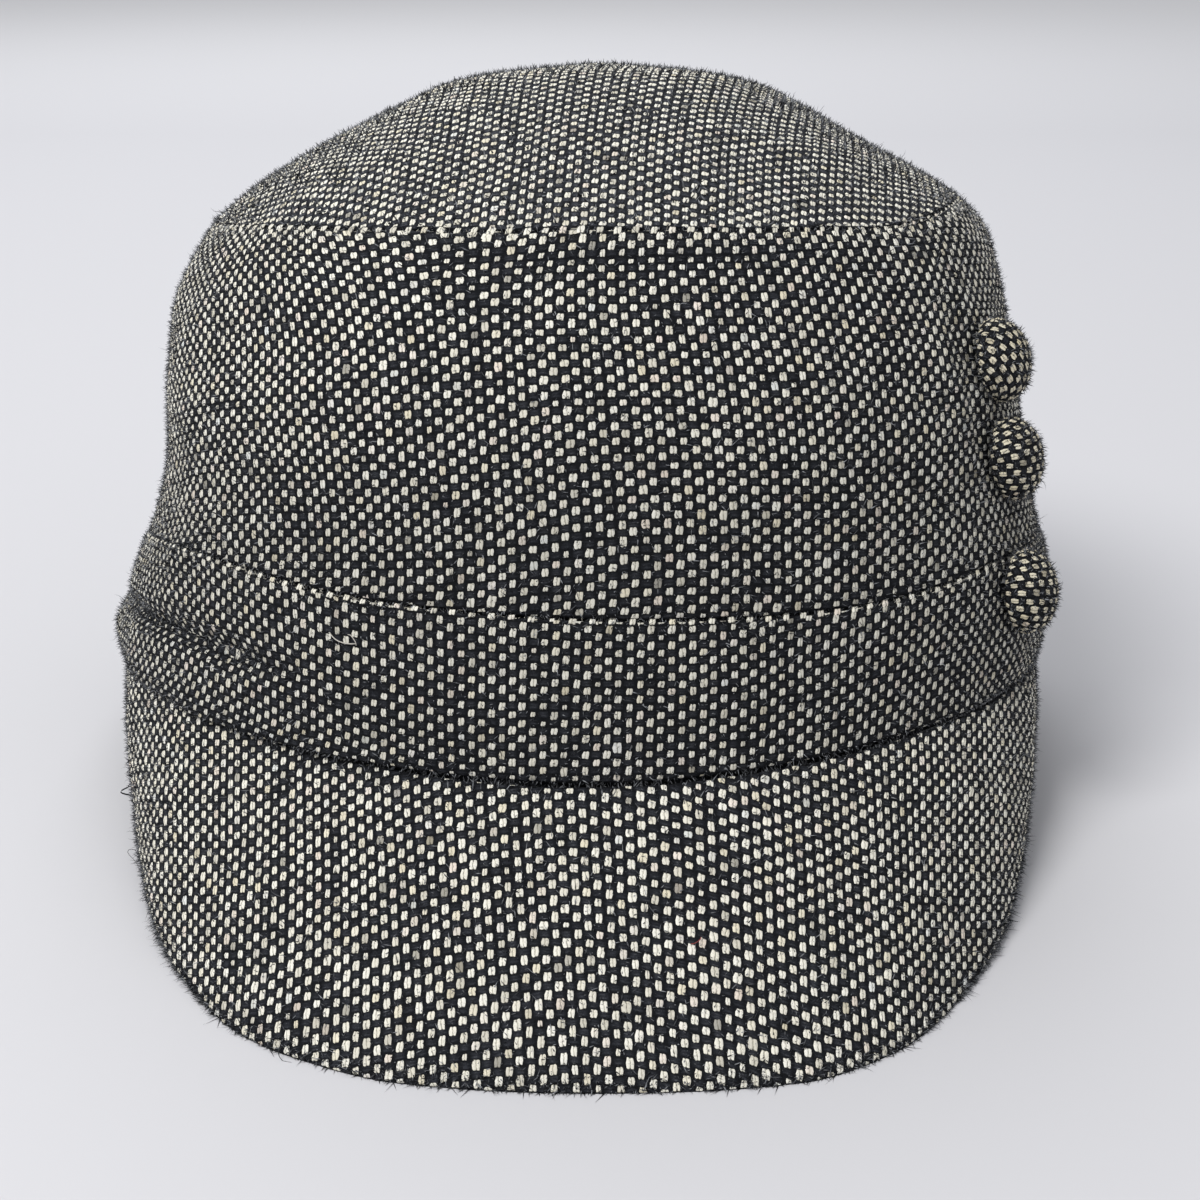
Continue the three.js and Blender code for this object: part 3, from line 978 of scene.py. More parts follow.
def grown(name, mesh, tree, values):
    """The plain mesh that a tree makes out of another."""
    holder = bpy.data.objects.new(name, mesh)
    bpy.context.scene.collection.objects.link(holder)
    modifier = holder.modifiers.new("growth", "NODES")
    modifier.node_group = tree
    for socket in tree.interface.items_tree:
        if socket.in_out == "INPUT" and socket.name in values:
            modifier[socket.identifier] = values[socket.name]
    bpy.context.view_layer.update()
    depsgraph = bpy.context.evaluated_depsgraph_get()
    made = bpy.data.meshes.new_from_object(
        holder.evaluated_get(depsgraph), preserve_all_data_layers=True, depsgraph=depsgraph
    )
    bpy.data.objects.remove(holder)
    made.name = name
    return made


def set_on_points(desk, entry, points, rotation, scale):
    """One of the templates on each point, picked by a random number."""
    shapes = desk.node("GeometryNodeCollectionInfo", {}, {
        "Collection": entry.other("templates"),
        "Separate Children": True,
        "Reset Children": False,
    })
    most = 1000
    sockets = {"Min": 0, "Max": most, "Seed": entry.other("seed")}
    number = desk.node("FunctionNodeRandomValue", {"data_type": "INT"}, sockets)
    return desk.node("GeometryNodeInstanceOnPoints", {}, {
        "Points": points,
        "Instance": shapes,
        "Pick Instance": True,
        "Instance Index": number,
        "Rotation": rotation,
        "Scale": scale,
    })


def random_number(desk, low, high, seed):
    """A number for each float or hair."""
    sockets = {"Min": low, "Max": high, "Seed": seed}
    return desk.node("FunctionNodeRandomValue", {"data_type": "FLOAT"}, sockets)


def keep(desk, geometry, name, value, kind="FLOAT", domain="POINT"):
    """Writes a value on the geometry under a name."""
    settings = {"data_type": kind, "domain": domain}
    sockets = {"Geometry": geometry, "Name": name, "Value": value}
    return desk.node("GeometryNodeStoreNamedAttribute", settings, sockets)


def kept(desk, name, kind="FLOAT"):
    """Reads such a value."""
    return desk.node("GeometryNodeInputNamedAttribute", {"data_type": kind}, {"Name": name})


def drop_points(desk, points, which):
    """Deletes the points that a number over 0.5 marks."""
    settings = {"domain": "POINT", "mode": "ALL"}
    return desk.node("GeometryNodeDeleteGeometry", settings, {"Geometry": points, "Selection": which})


def float_tree():
    """Lays cream floats in a chequer on a flat sheet, then lays the sheet on the cloth."""
    tree, desk, entry = new_tree("cream_floats", {
        "columns": "Int",
        "rows": "Int",
        "centre across": "Float",
        "centre along": "Float",
        "least across": "Float",
        "most across": "Float",
        "width": "Float",
        "length": "Float",
        "height": "Float",
        "unevenness": "Float",
        "seed": "Int",
        "templates": "Collection",
        "yarn": "Material",
    })
    position = desk.node("GeometryNodeInputPosition")
    sheet = desk.node("GeometryNodeMeshGrid", {}, {
        "Size X": (entry.other("columns") - 1) * COLUMN_PITCH,
        "Size Y": (entry.other("rows") - 1) * ROW_PITCH,
        "Vertices X": entry.other("columns"),
        "Vertices Y": entry.other("rows"),
    })
    x, y, unused = desk.parts(position)
    x = x + entry.other("centre across")
    y = y + entry.other("centre along")
    column = (x / COLUMN_PITCH).whole()
    row = (y / ROW_PITCH).whole()
    outside = (x < entry.other("least across")) + (x > entry.other("most across"))
    points = drop_points(desk, sheet, (column + row) % 2.0 + outside > 0.5)

    uneven = entry.other("unevenness")
    seed = entry.other("seed") * 1.0

    def chance(salt):
        """A number between -0.5 and 0.5 for each float."""
        return desk.chance(column, row, seed + salt) - 0.5

    thread_shift, shift_across, shift_along = 0.16, 0.08, 0.20
    column_shift = (desk.chance(column, 0.0, seed) - 0.5) * uneven * thread_shift
    moved_x = x + column_shift + chance(8.0) * uneven * shift_across
    row_shift = (desk.chance(0.0, row, seed) - 0.5) * uneven * thread_shift
    moved_y = y + row_shift + chance(9.0) * uneven * shift_along
    column_run = desk.noise(desk.vector(column * 7.3, y * 0.05, seed), 1.0, 2.0)
    row_run = desk.noise(desk.vector(x * 0.05, row * 5.7, seed + 4.0), 1.0, 2.0)
    slub = desk.chance(column, row, seed + 2.0)
    thin_share, thick_share = 0.05, 0.03
    odd_size = 1.0 - (slub < thin_share) * 0.3 + (slub > 1 - thick_share) * 0.16
    width = (1.0 + (column_run - 0.5) * uneven * 0.8 + chance(5.0) * uneven * 0.14) * odd_size
    length = (1.0 + (row_run - 0.5) * uneven * 0.7 + chance(6.0) * uneven * 0.3) * odd_size
    points = keep(desk, points, "float_width", width * entry.other("width"))
    points = keep(desk, points, "float_length", length * entry.other("length"))
    points = desk.node("GeometryNodeSetPosition", {}, {
        "Geometry": points,
        "Position": desk.vector(moved_x, moved_y, 0.0),
    })

    x, y, unused = desk.parts(position)
    middle = uv_place(desk, x, y)
    good = sample_cloth(desk, entry, position, middle).other("Is Valid") * 1.0
    near_corner = 0.3
    inner_x = kept(desk, "float_width") * near_corner
    inner_y = kept(desk, "float_length") * near_corner
    for side, end in ((-1.0, -1.0), (1.0, -1.0), (-1.0, 1.0), (1.0, 1.0)):
        corner = uv_place(desk, x + inner_x * side, y + inner_y * end)
        good = sample_cloth(desk, entry, position, corner).other("Is Valid") * good
    points = drop_points(desk, points, good < 0.5)
    home = sample_cloth(desk, entry, position, middle)
    points = keep(desk, points, "home", home, "FLOAT_VECTOR")
    home_rise = sample_cloth(desk, entry, kept(desk, "rise", "FLOAT_VECTOR"), middle)
    points = keep(desk, points, "home_rise", home_rise, "FLOAT_VECTOR")
    swell = sample_cloth(desk, entry, kept(desk, "swell"), middle, "FLOAT")
    points = keep(desk, points, "swell_here", swell)

    turn = random_number(desk, -0.10, 0.08, 11)
    rise = random_number(desk, 0.75, 1.25, 12)
    swell = kept(desk, "swell_here")
    upright = desk.vector(0.0, 0.0, turn)
    rotation = desk.node("FunctionNodeEulerToRotation", {}, {"Euler": upright})
    scale = desk.vector(
        kept(desk, "float_width") * (swell * 0.7 + 0.3),
        kept(desk, "float_length") * swell,
        rise * entry.other("height") * (swell * 0.5 + 0.5),
    )
    floats = set_on_points(desk, entry, points, rotation, scale)
    shade = random_number(desk, 0.0, 1.0, 21)
    floats = keep(desk, floats, "shade", shade, "FLOAT", "INSTANCE")
    tint = random_number(desk, 0.0, 1.0, 22)
    floats = keep(desk, floats, "tint", tint, "FLOAT", "INSTANCE")
    floats = desk.node("GeometryNodeRealizeInstances", {}, {"Geometry": floats})

    x, y, z = desk.parts(position)
    flat = uv_place(desk, x, y)
    floats = keep(desk, floats, "OFBake", flat, "FLOAT2", "CORNER")
    foot = sample_cloth(desk, entry, position, flat)
    found = foot.other("Is Valid") * 1.0
    way = sample_cloth(desk, entry, kept(desk, "rise", "FLOAT_VECTOR"), flat)
    foot = desk.mix_vectors(found, kept(desk, "home", "FLOAT_VECTOR"), foot)
    way = desk.mix_vectors(found, kept(desk, "home_rise", "FLOAT_VECTOR"), way)
    lifted = desk.node("ShaderNodeVectorMath", {"operation": "SCALE"}, {0: way, "Scale": z * METRE})
    laid = desk.reckon_vectors("ADD", foot, lifted)
    laid = desk.reckon_vectors("MAXIMUM", laid, FLOAT_LIMITS)
    floats = desk.node("GeometryNodeSetPosition", {}, {"Geometry": floats, "Position": laid})
    end_tree(desk, floats, entry.other("yarn"))
    return tree


def uv_place(desk, x, y):
    """Millimetres of cloth as a place in the weave map."""
    return desk.vector(x / MAP_SPAN + 0.5, y / MAP_SPAN + 0.5, 0.0)


def sample_cloth(desk, entry, value, place, kind="FLOAT_VECTOR"):
    """A value of the cloth at a place in its map."""
    return desk.node("GeometryNodeSampleUVSurface", {"data_type": kind}, {
        "Mesh": entry,
        "Value": value,
        "Source UV Map": kept(desk, "cloth", "FLOAT_VECTOR"),
        "Sample UV": place,
    })


def end_tree(desk, geometry, material):
    """Makes the instances real, gives them their yarn and closes the tree."""
    geometry = desk.node("GeometryNodeRealizeInstances", {}, {"Geometry": geometry})
    geometry = desk.node("GeometryNodeSetMaterial", {}, {"Geometry": geometry, "Material": material})
    desk.node("NodeGroupOutput", {}, {"Geometry": geometry})


FULL_TURN = 6.283


def fuzz_tree():
    """Stands short hairs on the cloth, thickest where it frays."""
    tree, desk, entry = new_tree("loose_fibres", {
        "hairs": "Float",
        "shortest": "Float",
        "longest": "Float",
        "thickness": "Float",
        "lean": "Float",
        "clumping": "Float",
        "seed": "Int",
        "templates": "Collection",
        "yarn": "Material",
    })
    clumps = desk.noise(desk.node("GeometryNodeInputPosition"), 260.0, 2.0)
    clumps = 1.0 + (clumps - 0.5) * entry.other("clumping")
    fray = kept(desk, "fray") * clumps.at_least(0.0)
    spots = desk.node("GeometryNodeDistributePointsOnFaces", {"distribute_method": "RANDOM"}, {
        "Mesh": entry,
        "Density": fray * entry.other("hairs"),
        "Seed": entry.other("seed"),
    })
    lean = entry.other("lean")
    tilt = desk.vector(
        random_number(desk, -1.0, 1.0, 31) * lean,
        random_number(desk, -1.0, 1.0, 32) * lean,
        random_number(desk, 0.0, FULL_TURN, 33),
    )
    turned = desk.node("FunctionNodeRotateRotation", {"rotation_space": "LOCAL"}, {
        "Rotation": spots.other("Rotation"),
        "Rotate By": desk.node("FunctionNodeEulerToRotation", {}, {"Euler": tilt}),
    })
    span = entry.other("longest") - entry.other("shortest")
    size = entry.other("shortest") + random_number(desk, 0.0, 1.0, 34) ** 1.7 * span
    straight = entry.other("thickness") > 0.0
    thickness = entry.other("thickness") * random_number(desk, 0.6, 1.4, 36)
    width = straight * thickness + (1.0 - straight) * size
    hairs = set_on_points(desk, entry, spots, turned, desk.vector(width, width, size))
    shade = random_number(desk, 0.0, 1.0, 35) ** 2.5
    hairs = keep(desk, hairs, "shade", shade, "FLOAT", "INSTANCE")
    hairs = desk.node("GeometryNodeRealizeInstances", {}, {"Geometry": hairs})
    place = desk.node("GeometryNodeInputPosition")
    above_floor = desk.reckon_vectors("MAXIMUM", place, HAIR_LIMITS)
    hairs = desk.node("GeometryNodeSetPosition", {}, {"Geometry": hairs, "Position": above_floor})
    end_tree(desk, hairs, entry.other("yarn"))
    return tree


# The pieces


def ripple(points, depth=0.22):
    """The unevenness of soft cloth, in millimetres."""
    longest, shortest, waves, seed = 34, 13, 9, 5
    return depth * slow_waves(points, longest, shortest, waves, seed)


def seam_pucker(turns):
    """The small waves that a row of stitches draws in the cloth."""
    seam_radius, wave, slow_wave = 88, 6.1, 17
    length = np.radians(turns) * seam_radius
    return np.sin(2 * np.pi * length / wave + 1.5 * np.sin(length / slow_wave))


def back_seam(turns, width=1.1):
    """How much of the seam down the middle of the back passes through a place."""
    back_radius = 95
    away = np.radians(180 - np.abs(turns)) * back_radius
    return np.exp(-((away / width) ** 2))


def window(turns, first, last, soft):
    """1 between two turns and 0 outside, with soft ends."""
    rise = np.clip((turns - first) / soft + 0.5, 0, 1)
    fall = np.clip((last - turns) / soft + 0.5, 0, 1)
    return rise * fall


def fuzzy_sides(turns):
    """How much more down the cloth has at the cap's sides than at its back."""
    away, side_start, side_end, past_back, soft = np.abs(turns), 54, 124, 400, 22
    sides = window(away, side_start, side_end, soft)
    back = window(away, side_end, past_back, soft)
    return 0.80 + 0.72 * sides - 0.32 * back


CREASE_DROP = 4.4               # of the crease in front, under the top seam
FOLD_DEPTH = 2.0                # of the fold across the band's right end
BACK_SEAM_DEPTH = 0.7           # of the dent along the seam at the back
BACK_SEAM_SHRINK = 0.45         # how much smaller the floats are in that dent
FLAT_SEAM_WIDTH = 1.5           # how far to its sides they are smaller


def fold_across(turns, low, high):
    """How much of the fold across the band's right end passes through a place."""
    up_the_band, half_width = 0.47, 1.8
    valley = low - up_the_band * (low + high)
    return window(turns, -76, -34, 14) * np.exp(-((valley / half_width) ** 2))


def band_relief(points, turns, low, high):
    """How far the band's cloth stands out: its seams, the fold and the fullness under it."""
    pucker = seam_pucker(turns) * np.exp(-((high / 2.6) ** 2)) * 0.16
    filled = 2.0 * window(turns, -66, -18, 16) * np.exp(-((low / 3.2) ** 2))
    folded = FOLD_DEPTH * fold_across(turns, low, high)
    return ripple(points) + pucker + filled - folded - BACK_SEAM_DEPTH * back_seam(turns)


def crown_relief(points, turns, low, high):
    """How far the crown's wall stands out: the crease under the top seam and the pull of the band."""
    crease = window(turns, -22, 24, 10) * np.exp(-(((high - CREASE_DROP) / 1.1) ** 2)) * 0.5
    pull = np.exp(-((low / 3.0) ** 2)) * 0.14
    pucker = seam_pucker(turns) * pull * 0.6
    return ripple(points) - crease - pull + pucker - BACK_SEAM_DEPTH * back_seam(turns)


def top_relief(points, turns, low, high):
    """How far the dome stands out: it rolls over at its seam and is even at its tip."""
    roll = np.exp(-((low / 3.0) ** 2)) * 0.12
    return ripple(points) * np.clip(high / 30, 0, 1) + roll


def peak_relief(points, turns, low, high):
    """How far the peak stands out. A stiff sheet keeps it smooth."""
    return ripple(points, 0.12) * np.clip(low / 12, 0, 1)


def ring_map(wall, shares):
    """Weave map of the crown's wall, which hangs a little askew."""
    sine = np.sin(np.radians(wall.turns))
    up = wall.climb(shares)
    share = up / wall.length
    # Columns lean outwards at the sides, less so high up, and most of all near the top on the right
    lean = up * (0.05 - 0.28 * sine * (1 - 0.65 * share))
    upper = np.clip((share - 0.6) / 0.3, 0, 1) ** 2 * 0.15 + np.clip(share - 0.9, 0, 1)
    slanted = np.clip((-wall.turns - 10) / 28, 0, 1) * window(wall.turns, -100, 0, 50)
    lean = lean + (0.1 + 0.75 * slanted) * upper * wall.length
    # Rows sink towards the sides, and more so on the right
    drift = wall.roundwise(lambda turn: 0.165 * np.sin(np.radians(turn)) - 0.055)
    return to_map(wall.roundwise() + lean, up - wall.half_way() + drift, SWAY)


def strip_map(wall, shares):
    """Weave map of the band, whose threads lean as they rise on its right."""
    up = wall.climb(shares)
    turns = np.broadcast_to(wall.turns, shares.shape)
    middle = wall.surface(wall.turns, np.full_like(wall.turns, 0.5))[:, 0]
    beside = wall.surface(turns, np.clip(shares, 0, 1))[..., 0] - middle
    stretch = np.gradient(wall.roundwise()) / np.maximum(np.gradient(middle), 1e-3)
    lean = beside * np.clip(stretch, 1, 1.9) * window(wall.turns, -78, 78, 40)
    lean = lean - 0.1 * np.sin(np.radians(wall.turns)) * (up - wall.length / 2)
    return to_map(wall.roundwise() + lean, (up - wall.half_way()) * 1.05, SWAY)


def peak_map(wall, shares):
    """Weave map of the peak: its columns run down it and its rows straight across the cap."""
    def width_rate(turn):
        """Cloth across the columns for each millimetre round the peak."""
        front, turning = 26, 38
        step = np.clip((np.abs(turn) - front) / turning, 0, 1)
        return 1 - 0.4 * step * step * (3 - 2 * step)

    def rise_rate(turn):
        """Cloth along the columns for each millimetre round the peak."""
        return 0.6 * np.tanh((turn + 4) / 29)

    up = wall.climb(shares)
    lean = -0.35 * np.sin(np.radians(wall.turns)) * up * up / (2 * wall.length)
    apart = 60                  # from the crown's part of the weave
    return to_map(wall.roundwise(width_rate) + lean, up + wall.roundwise(rise_rate) - apart, SWAY)


def top_map(wall, points, shares, tip):
    """Weave map of the dome, spread out flat from its middle."""
    if shares is wall.shares:
        rest = np.linalg.norm(points[-1] - tip, axis=-1)
        up = wall.climbed()
        reach = up[-1] - up + rest
    else:
        reach = np.linalg.norm(points - tip, axis=-1)
    askew = math.radians(4)
    direction = np.arctan2(points[..., 0] - tip[0], -(points[..., 1] - tip[1])) + askew
    return to_map(reach * np.sin(direction), -reach * np.cos(direction), SWAY)


def close_pole(mesh_points, faces, corner_map, ring, ring_map_rows, tip_point, tip_map, inward):
    """Fans a ring of points to one tip."""
    tip = len(mesh_points)
    mesh_points.append(tip_point)
    count = len(ring)
    for column in range(count):
        after = (column + 1) % count
        face = [ring[column], ring[after], tip]
        places = [ring_map_rows[column], ring_map_rows[after], tip_map]
        faces.append(face[::-1] if inward else face)
        corner_map.extend(places[::-1] if inward else places)


def domed_mesh(name, rings, places, tip, tip_map, under=None):
    """Rings of points that end in a tip. A point under them closes the mesh below."""
    rings = rings[:, :-1]
    row_count, column_count = rings.shape[:2]
    corner_rows, corner_columns = grid_corners(row_count, column_count, False, True)
    faces = (corner_rows * column_count + corner_columns % column_count).tolist()
    corner_map = places[corner_rows, corner_columns].reshape(-1, 2).tolist()
    points = list(rings.reshape(-1, 3))
    last = list(range((row_count - 1) * column_count, row_count * column_count))
    close_pole(points, faces, corner_map, last, places[-1], tip, tip_map, False)
    if under is not None:
        close_pole(points, faces, corner_map, list(range(column_count)), places[0], under, tip_map, True)
    return build_mesh(name, settle(np.array(points)), faces, corner_map)


def dome_meshes(wall, outer_map, inner_map, tip):
    """The dome as a closed wall, and its outer face alone."""
    tip_map = to_map(np.array(0.0), np.array(0.0), SWAY)
    under = tip - np.array([0, 0, CLOTH_THICKNESS])
    rings = np.concatenate([wall.inner, wall.outer])
    places = np.concatenate([inner_map, outer_map])
    whole = domed_mesh("crown_top_cloth", rings, places, tip, tip_map, under)
    face = domed_mesh("dome_face", wall.outer, outer_map, tip, tip_map)
    normals = np.concatenate([wall.normals[:, :-1].reshape(-1, 3), [[0, 0, 1]]])
    give_vectors(face, "rise", tipped(normals))
    swell = edge_gain(wall, 0.25, 0.0, 1.3)[:, :-1].ravel()
    fray = (edge_gain(wall, 1.0, 0.0, 1.6) * fuzzy_sides(wall.turns))[:, :-1].ravel()
    give_numbers(face, "fray", np.append(fray, 1.0))
    give_numbers(face, "swell", np.append(swell, 1.0))
    return whole, face


def odd(number):
    """An odd count close to a number, so that a sheet of floats has a middle one."""
    return int(number) // 2 * 2 + 1


def lay_floats(name, face, slot_name, bounds, size, tools, values):
    """Cream floats over the part of the map that a face fills, in millimetres."""
    low_x, high_x, low_y, high_y = bounds
    width, length = size
    made = grown(name, face, tools["weave"], {
        "columns": odd((high_x - low_x) / COLUMN_PITCH + SPARE_CELLS),
        "rows": odd((high_y - low_y) / ROW_PITCH + SPARE_CELLS),
        "centre across": round((low_x + high_x) / 2 / COLUMN_PITCH) * COLUMN_PITCH,
        "centre along": round((low_y + high_y) / 2 / ROW_PITCH) * ROW_PITCH,
        "least across": -ENDLESS,
        "most across": ENDLESS,
        "width": width,
        "length": length,
        "height": FLOAT_HEIGHT,
        "unevenness": 1.0,
        "templates": tools["floats"],
        **values,
    })
    show(name, made, slot_name)


def map_bounds(places):
    """The least and greatest millimetres across and along that a weave map reaches."""
    flat = (places.reshape(-1, 2) - 0.5) * MAP_SPAN
    return flat[:, 0].min(), flat[:, 0].max(), flat[:, 1].min(), flat[:, 1].max()


def edge_distances(wall):
    """Millimetres from each outer point to the lower and to the upper edge."""
    return wall.shares * wall.length, (1 - wall.shares) * wall.length


def edge_gain(wall, low_gain, high_gain, width):
    """A number for each outer point, which is 1 and grows towards the edges."""
    low, high = edge_distances(wall)
    return 1 + low_gain * np.exp(-((low / width) ** 2)) + high_gain * np.exp(-((high / width) ** 2))


def make_tools():
    """The yarns, the templates and the trees that the pieces share."""
    lining = whole_tweed("tweed_inside")
    # Each piece's yarns carry its painted shade, and the dome's dark yarn its painted sheen
    ground = {node: dark_ground(node + "_dark_yarn", shades) for node, shades in DARK_YARN_PAINTED_LIGHT.items()}
    cream = {node: cream_yarn(node + "_cream_yarn", shades) for node, shades in YARN_PAINTED_LIGHT.items()}
    return {
        "lining": lining,
        "ground": ground,
        "cream": cream,
        "hair": plain_fibre("dark_hair", colour(16, 18, 23), colour(158, 161, 166)),
        "warm": cream_yarn("button_cream_yarn", BUTTON_YARN_SHADE, colour(255, 250, 238)),
        "thread": plain_fibre("cream_thread", colour(214, 210, 196), colour(246, 243, 232)),
        "floats": template_set("float_shapes", [float_template(number) for number in range(FLOAT_SHAPES)]),
        "spike": template_set("spike_shape", [spike_template()]),
        "curls": template_set("hair_shapes", [
            fibre_template(0, 2, 1.0, 0.055, 0.25),
            fibre_template(1, 3, 1.1, 0.05, 0.6),
            fibre_template(2, 3, 1.3, 0.05, 0.9),
            fibre_template(3, 2, 0.8, 0.06, 0.4),
        ]),
        "weave": float_tree(),
        "fuzz": fuzz_tree(),
    }


def make_walls():
    """The four walls. Each has its rows, then the rounding and the lap of its two edges."""
    turns = np.linspace(-180, 180, ROUND_COLUMNS)
    peak_turns = np.linspace(-PEAK_END, PEAK_END, PEAK_COLUMNS)
    over_peak = SEAM_LAP * window(turns, -PEAK_END + 2, PEAK_END - 2, 4)
    side_low, side_high = (0.4, SEAM_LAP), (0.25, SEAM_LAP)
    band_low, band_high = (0.7, over_peak), (0.45, SEAM_LAP)
    dome_low, dome_high = (0.25, SEAM_LAP), None
    peak_low, peak_high = (0.9, 0.0), (0.7, SEAM_LAP)
    return {
        "crown_side": Wall(crown_surface, turns, 27, side_low, side_high, crown_relief),
        "band": Wall(band_surface, turns, 20, band_low, band_high, band_relief),
        "crown_top": Wall(top_surface, turns, 26, dome_low, dome_high, top_relief),
        "peak": Wall(peak_surface, peak_turns, 26, peak_low, peak_high, peak_relief, False, PEAK_END),
    }


def make_wall_piece(node, wall, weave_map, slot_name, fray, swell, tools):
    """A piece that goes round the cap: its wall, its floats and its hairs."""
    outer_map = weave_map(wall, wall.shares)
    inner_map = weave_map(wall, wall.back_shares)
    mesh = closed_wall_mesh(node + "_cloth", wall, outer_map, inner_map)
    paint(mesh, tools["ground"][node], tools["lining"], wall)
    show(node + "_cloth", mesh, slot_name, node)
    face = outer_face_mesh(node + "_face", wall, outer_map, fray, swell)
    cover(node, face, slot_name, outer_map, tools)


def make_crown_side(wall, tools):
    """The crown's wall, whose floats are larger at the top seam and smaller in its crease, which paints
    the crease's shade.
    """
    small_at_back = BACK_SEAM_SHRINK * back_seam(wall.turns, FLAT_SEAM_WIDTH)
    # Smaller floats in the crease let the dark ground show: painted shade
    swell = edge_gain(wall, 0.0, 0.34, 1.0) - crease_shade_shrink(wall) - small_at_back
    fray = edge_gain(wall, 0.8, 1.4, 1.5) * fuzzy_sides(wall.turns)
    make_wall_piece("crown_side", wall, ring_map, "crown_cloth", fray, swell, tools)
    fray_seam("crown_side", wall, "crown_cloth", tools)


def make_band(wall, tools):
    """The flaring band. Its fold across the right end gets extra dark down and smaller floats: painted
    shade of the fold.
    """
    swell = edge_gain(wall, 0.0, 0.12, 1.0) - shrink_for_shade_and_seam(wall)
    fray = edge_gain(wall, 1.6, 1.6, 1.5) * fuzzy_sides(wall.turns)
    # Extra dark down in the fold stands in for its shade: painted shade
    fray = fray + 1.2 * fold_across(wall.turns, *edge_distances(wall))
    make_wall_piece("band", wall, strip_map, "band_cloth", fray, swell, tools)
    fray_seam("band", wall, "band_cloth", tools)


def make_peak(wall, tools):
    """The peak, which frays most along its free edge."""
    swell = 1.0 - seam_shadow(wall, 1 - wall.shares)
    fray = edge_gain(wall, 9.0, 1.6, 1.5) * fuzzy_sides(wall.turns)
    make_wall_piece("peak", wall, peak_map, "peak_cloth", fray, swell, tools)


def make_crown_top(wall, tools):
    """The domed top."""
    tip = top_surface(np.array(0.0), np.array(1.0))
    outer_map = top_map(wall, wall.outer, wall.shares, tip)
    inner_map = top_map(wall, wall.inner, wall.back_shares, tip)
    whole, face = dome_meshes(wall, outer_map, inner_map, tip)
    paint(whole, tools["ground"]["crown_top"], tools["lining"], wall, dome=True)
    show("crown_top_cloth", whole, "crown_cloth", "crown_top")
    cover("crown_top", face, "crown_cloth", outer_map, tools)


def make_seam_floats(walls, tools):
    """The floats over the top seam, smaller at the sides, and over the band's upper seam."""
    side, dome, band = walls["crown_side"], walls["crown_top"], walls["band"]
    turns = side.turns
    sizes = 1 - 0.4 * window(turns, 22, 180, 24) - 0.1 * window(turns, -180, -40, 30)
    bridge_seam("top_seam", side, dome, 0.13, sizes, tools)
    sizes = 0.8 + 0.1 * window(turns, 20, 60, 20)
    bridge_seam("band_seam", band, side, 0.35, sizes, tools)


def fringe(brim, tools):
    """Dark hairs along the free edge of the peak, where its cloth is turned under."""
    mesh = sheet_mesh("peak_edge", np.concatenate([brim.inner[-1:], brim.outer[:EDGE_ROWS - 1]]))
    give_numbers(mesh, "fray", np.ones(len(mesh.vertices)))
    plant("peak", "fringe", mesh, "peak_cloth", tools, SEEDS["fringe"])


# Stray hairs: name, wall, turn, share, heading in degrees, length, bend, lift, thickness, colour
STRAYS = [
    ("stray_lint", "band", -26.0, 0.72, -10, 5.6, 0.5, 0.5, 0.24, (200, 196, 188)),
    ("stray_lint_end", "band", -24.6, 0.76, -38, 2.6, -0.8, 0.6, 0.18, (205, 200, 192)),
    ("stray_dark_hair", "peak", -61.0, 0.06, 178, 7.0, 1.3, 1.6, 0.10, (40, 42, 46)),
    ("stray_edge_hair", "peak", -29.0, 0.01, -70, 5.0, 1.6, 1.0, 0.13, (34, 36, 40)),
    ("stray_dark_bit", "peak", -66.0, 0.24, 120, 2.0, 1.2, 1.6, 0.30, (28, 30, 34)),
    ("stray_red_fibre", "peak", 10.0, 0.45, 30, 2.0, 0.8, 0.4, 0.14, (150, 70, 70)),
]


def make_strays():
    """A few loose hairs that cling to the cap."""
    surfaces = {"band": band_surface, "peak": peak_surface}
    for name, node, turn, share, heading, length, bend, lift, thickness, tone in STRAYS:
        surface = surfaces[node]
        start = surface(np.array(turn), np.array(share))
        across = unit(surface(np.array(turn + 0.5), np.array(share)) - start)
        out = outward_normal(surface, np.array(turn), np.array(share))
        up = np.cross(out, across)
        out = out * (1 if out @ sideways(np.array(turn)) > 0 else -1)
        clear = 0.45
        line = []
        for step in np.linspace(0, 1, 9):
            angle = math.radians(heading) + bend * (step - 0.5)
            along = (across * math.cos(angle) + up * math.sin(angle)) * length * (step - 0.5)
            line.append(start + along + out * (clear + lift * math.sin(math.pi * step) ** 2))
        points, faces = tube_round(np.array(line), thickness)
        mesh = build_mesh(name, settle(points), faces)
        tone_name = name + "_colour"
        mesh.materials.append(plain_fibre(tone_name, colour(*tone), colour(*tone)))
        show(name, mesh, node + "_cloth")


def tube_round(line, thickness):
    """A closed three-sided tube round a line."""
    ways = unit(np.gradient(line, axis=0))
    first = unit(np.cross(ways, [0.3, 0.2, 1.0]))
    second = np.cross(ways, first)
    rings = []
    for side in range(3):
        angle = 2 * np.pi * side / 3
        rings.append(line + thickness / 2 * (first * math.cos(angle) + second * math.sin(angle)))
    points = np.stack(rings, 1).reshape(-1, 3)
    corner_rows, corner_columns = grid_corners(len(line), 3, False, True)
    faces = (corner_rows * 3 + corner_columns % 3).tolist()
    last = len(points)
    return points, faces + [[2, 1, 0], [last - 3, last - 2, last - 1]]


